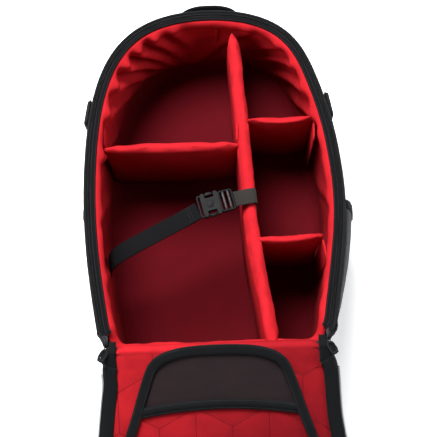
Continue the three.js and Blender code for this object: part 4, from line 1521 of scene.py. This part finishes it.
def harness_pad(name, corners, node, seed):
    """A foam pad with rounded corners, stitched channels across it and a bound edge."""
    sides = zip(corners, corners[1:] + corners[:1])
    shape = np.vstack([np.linspace(a, b, 6, endpoint=False) for a, b in sides])
    for _ in range(3):
        shape = (np.roll(shape, 1, 0) + shape * 2 + np.roll(shape, -1, 0)) / 4
    made = slab(name, shape, 1.2, 14.2, 3.0)
    puff(made, voxel=5.5, cap=3.0, pressure=4.0, frames=10)
    points = coordinates(made)
    ys = points[:, 1]
    groove = gauss((ys - ys.mean()) % 28 - 14, 0, 2.2) * (np.ptp(ys) > 60)
    points[:, 2] = np.clip(points[:, 2], 0.5, 15.4) + wrinkled(points, 0.3, 25, seed)
    low = points[:, 2] < 7
    points[low, 2] += 2.2 * groove[low]
    set_coordinates(made, points)
    padded_piece(made, PAD, "bag", "pad_fabric", 0.75, node)
    edge = sweep(f"{name}_edge", np.c_[shape, np.full(len(shape), 8.4)], rounded(2.4, 9, 1.1),
                 np.c_[shape - shape.mean(0), np.zeros(len(shape))], joined=True)
    piece(edge, BINDING, "bag", "black_binding")


def shoulder_strap(side, name):
    """A padded strap with bound edges and a webbing down its middle."""
    centre = [(60, 196), (67, 165), (79, 130), (92, 88), (102, 40), (107, -10), (106, -55), (102, -95)]
    line = smooth([(side * x, y, 7.2) for x, y in centre], 6)
    k = np.linspace(0, 1, len(line))
    width = 25.5 * (1 - 0.10 * (1 - ramp(k, 0, 0.15)) - 0.22 * ramp(k, 0.85, 1))
    shape = rounded(2, 2, 0.6, 4)
    section = shape[None] * np.stack([width, np.full_like(width, 5.6)], -1)[:, None]
    made = sweep(f"shoulder_strap_pad_{name}", line, section, (1, 0, 0))
    subdivide(made)
    padded_piece(made, PAD, "bag", "pad_fabric", 0.7, f"shoulder_strap_{name}")
    edges = []
    for edge in (-1, 1):
        offset = np.c_[edge * (width - 0.2), np.zeros(len(line)), np.zeros(len(line))]
        edges.append(sweep("edge", line + offset, rounded(2.2, 9, 1.0), (1, 0, 0)))
    middle = sweep("middle", line[4:-4] - [0, 0, 5.9], web_section(22), (1, 0, 0))
    piece(join(f"shoulder_strap_binding_{name}", edges + [middle]), BINDING, "bag", "black_binding")


def ladder(name, width, length, thickness, place, body, node):
    """A ladder lock: a frame with a waisted grip bar across its middle."""
    middle = thickness / 2
    made = [hoop("frame", box_shape(width - 3, length - 3, 3), middle, rounded(3.2, thickness, 1.2), place)]
    for y, size in ((-length * 0.02, 4.4), (-length * 0.27, 2.4)):
        path = place([(x, y, middle + 0.4) for x in np.linspace(-width / 2 + 2, width / 2 - 2, 9)])
        lead = place([(0, 1, 0)])[0] - place([(0, 0, 0)])[0]
        made.append(sweep("bar", path, rounded(size, thickness * 0.8, 1.0), lead))
    piece(join(name, made), PLASTIC, body, "buckle_plastic", node)


def straps_and_adjusters():
    for side, name in ((-1, "left"), (1, "right")):
        shoulder_strap(side, name)
        place = placed((side * 104, -109, 4), np.eye(3))
        ladder(f"strap_lock_{name}", 30, 24, 5, place, "bag", f"strap_adjuster_{name}")
        lower = [(side * 105, -100, 7), (side * 108, -123.5, 7), (side * 115, -150, 7), (side * 121, -188, 7)]
        made = strap(f"lower_strap_{name}", lower, [(1, 0, 0)] * 4, web_section(22))
        piece(made, WEBBING, "bag", "webbing", f"lower_webbing_{name}")
        chest = [(side * 16, 55, 6), (side * 40, 55, 5.4), (side * 62, 55, 6)]
        made = strap(f"sternum_strap_{name}", chest, [(0, 1, 0)] * 3, web_section(20))
        piece(made, WEBBING, "sternum_strap", "webbing", f"sternum_webbing_{name}")
    made = [slab("case", box_shape(32, 25, 4, (0, 55)), 2.2, 9.4, 1.4),
            slab("boss", box_shape(12, 10, 3, (0, 55)), 1.2, 3, 0.6)]
    for side in (-1, 1):
        made.append(hoop("loop", box_shape(6, 24, 2, (side * 14.5, 55)), 6, rounded(2.4, 4, 1.0)))
    piece(join("sternum_clip", made), PLASTIC, "sternum_strap", "buckle_plastic", "sternum_buckle")


harness_pad("lumbar_cushion", [(-92, -205), (92, -205), (92, -120), (-92, -120)], "lumbar_pad", 91)
harness_pad("middle_back_cushion", [(-62, -110), (62, -110), (60, 15), (-60, 15)], "middle_back_pad", 92)
harness_pad("upper_back_cushion", [(-52, 95), (52, 95), (24, 190), (-24, 190)], "upper_back_pad", 93)
straps_and_adjusters()

# ---- Handle, side pockets and compression straps ----

HANDLE_Z = 112.0


def top_handle():
    """The grab handle: a webbing loop with a thicker grip, a painted highlight along the top of its bend and a
    row of stitches along each edge.
    """
    turns = np.linspace(0, math.pi, 41)
    line = np.stack([3 - 45.5 * np.cos(turns), 229.6 + 29.5 * np.sin(turns) ** 0.8, HANDLE_Z + 0 * turns], 1)
    line[:, 1] -= 0.8 * gauss(turns, math.pi / 2, 0.25)
    grow = 1 + 0.35 * ramp(np.sin(turns), 0.55, 0.8)
    section = np.array(web_section(25, 2.2))[None] * np.stack([np.ones_like(grow), grow], -1)[:, None]
    made = sweep("grab_handle", line, section, (0, 0, 1))
    piece(made, WEBBING, "bag", "webbing", "top_handle")
    # A lighter strip over the top of the bend: a painted highlight.
    grip = line[14:27]
    away = grip - [3, 226, HANDLE_Z]
    outer = grip + away / np.linalg.norm(away, axis=1)[:, None] * 2.4
    piece(sweep("grab_handle_painted_highlight", outer, web_section(17, 2.0), (0, 0, 1)), HANDLE_PAINTED_HIGHLIGHT, "bag", "webbing")
    rows = []
    for z in (HANDLE_Z - 8.5, HANDLE_Z + 8.5):
        row = line[3:-3] * [1, 1, 0] + [0, 0, z]
        rows.append(stitches("row", row + (row - [3, 226, z]) * 0.055, (0, 0, 1), "bag"))
    piece(join("grab_handle_stitches", rows), THREAD, "bag", "black_binding")


POCKET_RUN = (30.0, 182.0)  # from the hinge edge
POCKET_LEVELS = (0.1, 0.86)  # shares of the wall's height
POCKET_ROWS, POCKET_COLUMNS = 34, 31


def side_station(s, side):
    """Point and outward normal of the body's outline on one side."""
    index = np.arange(CORNER, BODY_COUNT // 2) * side % BODY_COUNT
    line, normals = BODY_POINTS[index], BODY_NORMALS[index]
    at = np.interp(s, line[:, 1], np.arange(len(index)))
    low = int(at)
    mix = at - low
    return line[low] * (1 - mix) + line[low + 1] * mix, normals[low] * (1 - mix) + normals[low + 1] * mix


def wall_at(s, side, fraction, out):
    """A point of the outer wall, moved out from it."""
    point, normal = side_station(s, side)
    belly = np.interp(fraction, *zip(*WALL_LEVELS))
    flat = point - normal * (belly - out) + [0, HINGE_Y]
    return [*flat, HARNESS + fraction * (rim_z(flat[1]) - 3 - HARNESS)]


def side_pocket(side, name, standoff, mouth_swell):
    """A stretch pocket: slack cloth held at the seams, its mouth gathered by a bound elastic."""
    levels = np.linspace(*POCKET_LEVELS, POCKET_COLUMNS)
    rise = np.sin(math.pi * np.linspace(0, 1, POCKET_COLUMNS)) ** 0.55
    rows = []
    for k in np.linspace(0, 1, POCKET_ROWS):
        s = POCKET_RUN[0] + k * (POCKET_RUN[1] - POCKET_RUN[0])
        swell = 0.25 + 0.75 * math.sin(math.pi * min(0.62, k * 0.75)) ** 0.8
        swell *= 1 + (mouth_swell - 1) * ramp(k, 0.6, 1)
        row = np.array([wall_at(s, side, f, 1.2 + standoff * swell * r) for f, r in zip(levels, rise)])
        pleat = 0.5 * np.sin(np.arange(POCKET_COLUMNS) * 1.9) * ramp(k, 0.55, 1.0) * rise
        row[:, 0] += side * (pleat + 0.9 * rise * rough(row, 24, 95))
        rows.append(row)
    grid = np.array(rows)
    flat = np.stack(np.meshgrid(np.arange(POCKET_COLUMNS) * 4.4, np.arange(POCKET_ROWS) * 4.6), -1)
    cloth = patch(f"side_pocket_cloth_{name}", grid, flat, 1.6)
    piece(cloth, STRETCH, "bag", "shell_fabric", f"side_pocket_{name}")
    made = [sweep("mouth", grid[-1], rounded(3.4, 12, 1.4), (side, 0, 0)),
            sweep("foot", grid[0], rounded(3, 8, 1.2), (side, 0, 0))]
    for column in (0, -1):
        made.append(sweep("side", grid[:, column], rounded(2.6, 8, 1.2), (side, 0, 0)))
    piece(join(f"side_pocket_binding_{name}", made), BINDING, "bag", "black_binding")


STRAP_Y = 91.0


def compression(side, name):
    """A compression strap up the side wall, its ladder lock and its loose tail."""
    flat, normal = side_station(STRAP_Y - HINGE_Y, side)
    outward, across = np.array([*normal, 0]), np.array([-normal[1] * side, normal[0] * side, 0])
    foot = np.array([*flat, 0]) + [0, HINGE_Y, 0] + outward * 2.1
    line = [foot + outward * out + [0, 0, z] for out, z in ((0.2, 30), (2.8, 90), (1.8, 150), (1.0, 173))]
    made = strap(f"compression_strap_{name}", line, [across] * 4, web_section(24))
    piece(made, WEBBING, "bag", "webbing", f"compression_webbing_{name}")
    stations = (5.6, 152), (7.2, 146), (6.6, 138), (5.0, 122), (4.6, 104)
    tail = [foot + outward * out + [0, 0, z] for out, z in stations]
    made = strap(f"compression_tail_{name}", tail, [across] * 5, web_section(20, 0.8))
    piece(made, WEBBING, "bag", "webbing")
    place = placed(foot + outward * 3.4 + [0, 0, 146], np.array([across * side, (0, 0, 1), outward]).T)
    ladder(f"compression_lock_{name}", 34, 26, 4.6, place, "bag", f"compression_adjuster_{name}")
    rod = place([(x, 2.6, 3.4) for x in np.linspace(-15, 15, 7)])
    piece(sweep(f"compression_pin_{name}", rod, circle(1.3, 10), (0, 0, 1)), METAL, "bag", "buckle_plastic")


top_handle()
side_pocket(1, "right", 12.0, 1.25)
side_pocket(-1, "left", 5.5, 0.75)
compression(-1, "left")
compression(1, "right")
